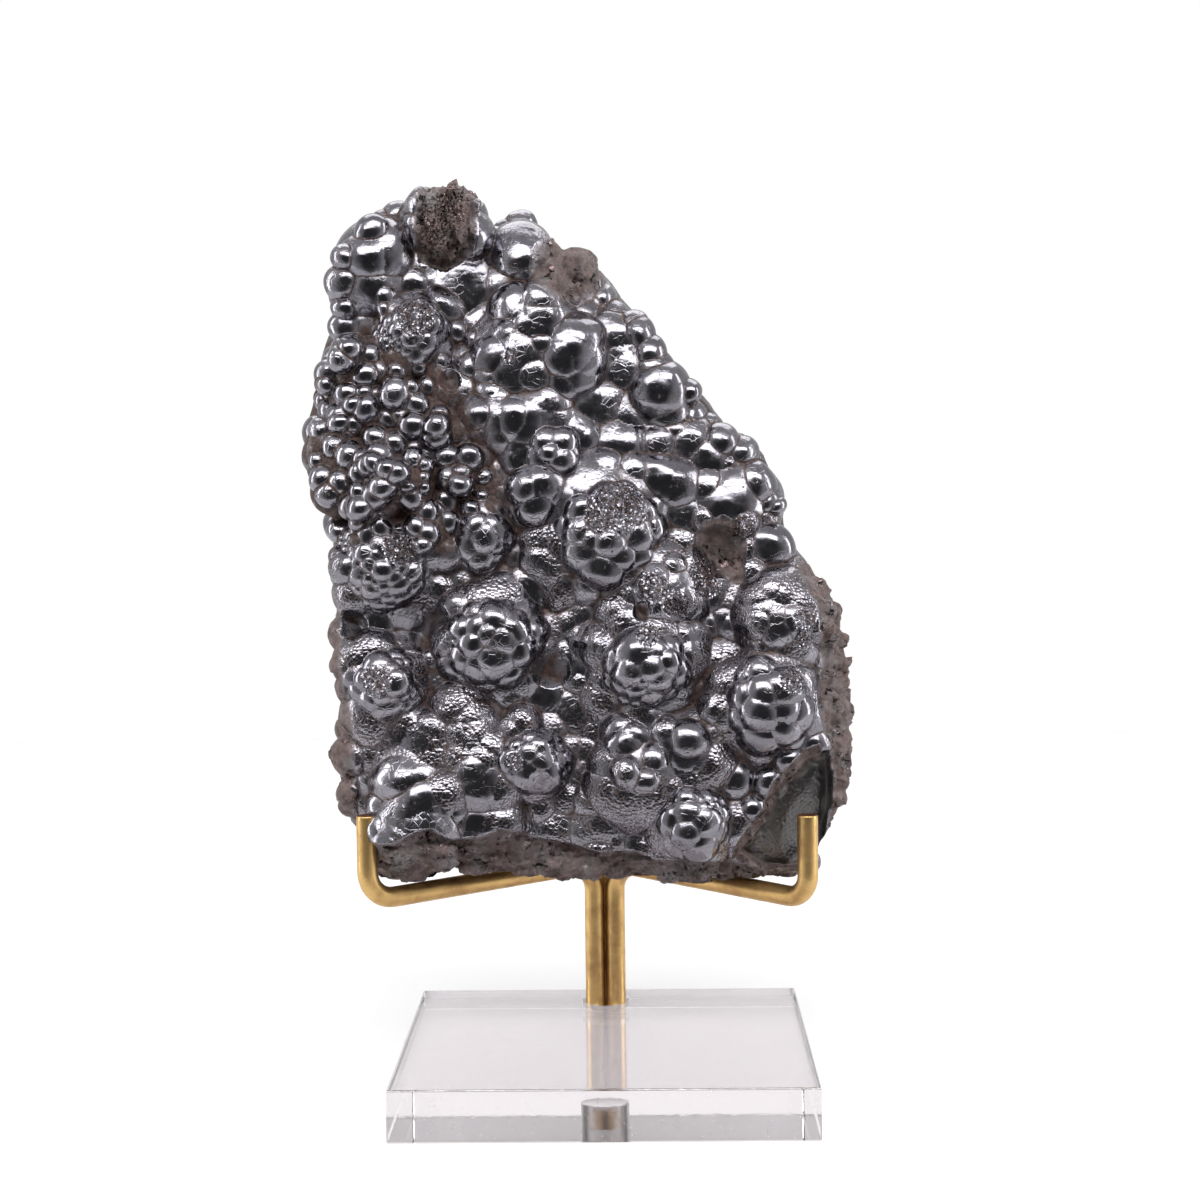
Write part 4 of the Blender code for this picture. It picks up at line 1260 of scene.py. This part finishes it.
def brass_material():
    """Satin golden-brown brass with dark specks and a copper-red cut end."""
    material, n = new_material("brass_rod")
    specks = n.range(n.noise(0.5 * MM, 2.0), 0.64, 0.72)
    tarnish = n.range(n.noise(5 * MM), 0.4, 0.75)
    gold = n.mix(tarnish, *GOLD)
    gold = n.mix(n.product(specks, 0.5), gold, BRASS_SPECK)
    n.set(Base_Color=n.mix(n.attribute("cut"), gold, CUT_END))
    n.set(Metallic=1.0)
    n.set(Roughness=n.blend(specks, n.blend(tarnish, 0.34, 0.46), 0.55))
    normal = n.bump(n.noise(1.1 * MM, 4.0, 0.6), 0.06 * MM)
    n.set(Normal=n.bump(n.noise(0.35 * MM, 1.0), 0.015 * MM, 1.0, normal))
    return material


def acrylic_material(name, frost):
    """Clear plastic with dust specks and a faintly wavy surface, which frost makes rough. Its grey tint is
    partly the plastic's own faint tone and partly painted shadow, for the shadow the block does not cast on
    the floor below.
    """
    material, n = new_material(name)
    darker_share = n.range(n.noise(0.55 * MM, 1.0), 0.73, 0.78)
    n.set(Base_Color=n.mix(n.product(darker_share, 0.6), *ACRYLIC_TINT_AND_SHADOW))
    n.set(Transmission_Weight=1.0)
    n.set(IOR=1.49)
    n.set(Roughness=n.blend(darker_share, 0.02 + frost, 0.35))
    n.set(Normal=n.bump(n.noise(3 * MM), 0.01 * MM + frost * 0.5 * MM))
    return material


def floor_material():
    material, n = new_material("studio_floor")
    n.set(Base_Color=n.mix(n.noise(0.3, 2.0), *FLOOR_GREY))
    n.set(Roughness=0.75)
    return material


# Studio
def add_light(name, place, target, width, height, radiance):
    lamp = bpy.data.lights.new(name, "AREA")
    lamp.shape = "RECTANGLE"
    lamp.size = width
    lamp.size_y = height
    lamp.energy = radiance * math.pi * width * height
    light = bpy.data.objects.new(name, lamp)
    light.location = place
    light.rotation_euler = (Vector(target) - Vector(place)).to_track_quat("-Z", "Y").to_euler()
    bpy.context.scene.collection.objects.link(light)
    light.visible_camera = False


def make_room():
    """White where the camera sees it, and in reflections a room that is dark behind the camera."""
    world = bpy.data.worlds.new("studio")
    bpy.context.scene.world = world
    world.use_nodes = True
    n = Nodes(world.node_tree)
    split = n.add("ShaderNodeSeparateXYZ")
    n.feed(split.inputs[0], n.coords.outputs["Generated"])
    room = n.range(split.outputs["Y"], *DARK_PART, DARK_FRONT, ROOM_LEVEL)
    rays = n.add("ShaderNodeLightPath").outputs
    through = rays["Is Transmission Ray"]
    seen = n.most(rays["Is Camera Ray"], through)
    white = n.math("MULTIPLY_ADD", through, BRIGHTER_THROUGH, 1.0)
    background = n.tree.nodes["Background"]
    n.feed(background.inputs["Strength"], n.blend(seen, room, white))
    background.inputs["Color"].default_value = (1.0, 1.0, 1.0, 1.0)


def make_floor():
    mesh = bpy.data.meshes.new("studio_floor")
    corners = [(side, end, 0) for side, end in FLOOR_CORNERS]
    mesh.from_pydata(corners, [], [(0, 1, 2, 3)])
    mesh.materials.append(floor_material())
    floor = bpy.data.objects.new("studio_floor", mesh)
    bpy.context.scene.collection.objects.link(floor)
    floor.location.z = -FLOOR_GAP


def make_studio():
    add_light("softbox_above", (0.0, -0.80, 1.10), LIT_MIDDLE, 1.8, 0.5, TOP_RADIANCE)
    add_light("softbox_back", (0.0, 0.9, 1.3), (0.0, 0.5, 0.0), 1.4, 1.0, BACK_RADIANCE)
    for name, across in (("strip_left", -0.95), ("strip_right", 0.95)):
        add_light(name, (across, -0.02, 0.35), LIT_MIDDLE, 0.22, 1.1, SIDE_RADIANCE)
    make_room()
    make_floor()
    bpy.context.scene.view_settings.view_transform = "Standard"


def make_camera():
    ahead = Vector((-math.sin(CAMERA_YAW), math.cos(CAMERA_YAW), 0)) * math.cos(CAMERA_PITCH)
    ahead.z = -math.sin(CAMERA_PITCH)
    level_right = Vector((math.cos(CAMERA_YAW), math.sin(CAMERA_YAW), 0))
    level_up = level_right.cross(ahead)
    right = math.cos(CAMERA_ROLL) * level_right + math.sin(CAMERA_ROLL) * level_up
    up = -math.sin(CAMERA_ROLL) * level_right + math.cos(CAMERA_ROLL) * level_up
    data = bpy.data.cameras.new("camera")
    data.sensor_width = CAMERA_SENSOR
    data.lens = CAMERA_LENS
    camera = bpy.data.objects.new("camera", data)
    bpy.context.scene.collection.objects.link(camera)
    turned = Matrix((right, up, -ahead)).transposed().to_4x4()
    camera.matrix_world = Matrix.Translation(CAMERA_PLACE) @ turned
    bpy.context.scene.camera = camera


make_camera()
make_studio()
make_stone()
brass = brass_material()
left = arm_path(-math.pi / 3, LEFT_HOOK, LEFT_HEEL_HEIGHT, LEFT_HOOK_BEND)
right = arm_path(math.pi / 3, RIGHT_HOOK, RIGHT_HEEL_HEIGHT, RIGHT_HOOK_BEND)
new_piece("left_arm_rod", rod_mesh("left_arm_rod", left), "left_arm", "brass", brass)
new_piece("right_arm_rod", rod_mesh("right_arm_rod", right), "right_arm", "brass", brass)
new_piece("back_rest_rod", rod_mesh("back_rest_rod", rest_path()), "back_rest", "brass", brass)
clear = acrylic_material("acrylic_clear", 0.0)
frosted = acrylic_material("acrylic_frosted", 0.35)
# The block casts no shadow; its darkened tint paints that shade instead
new_piece("acrylic_block", base_mesh(), "acrylic_base", "acrylic", clear, frosted).visible_shadow = False
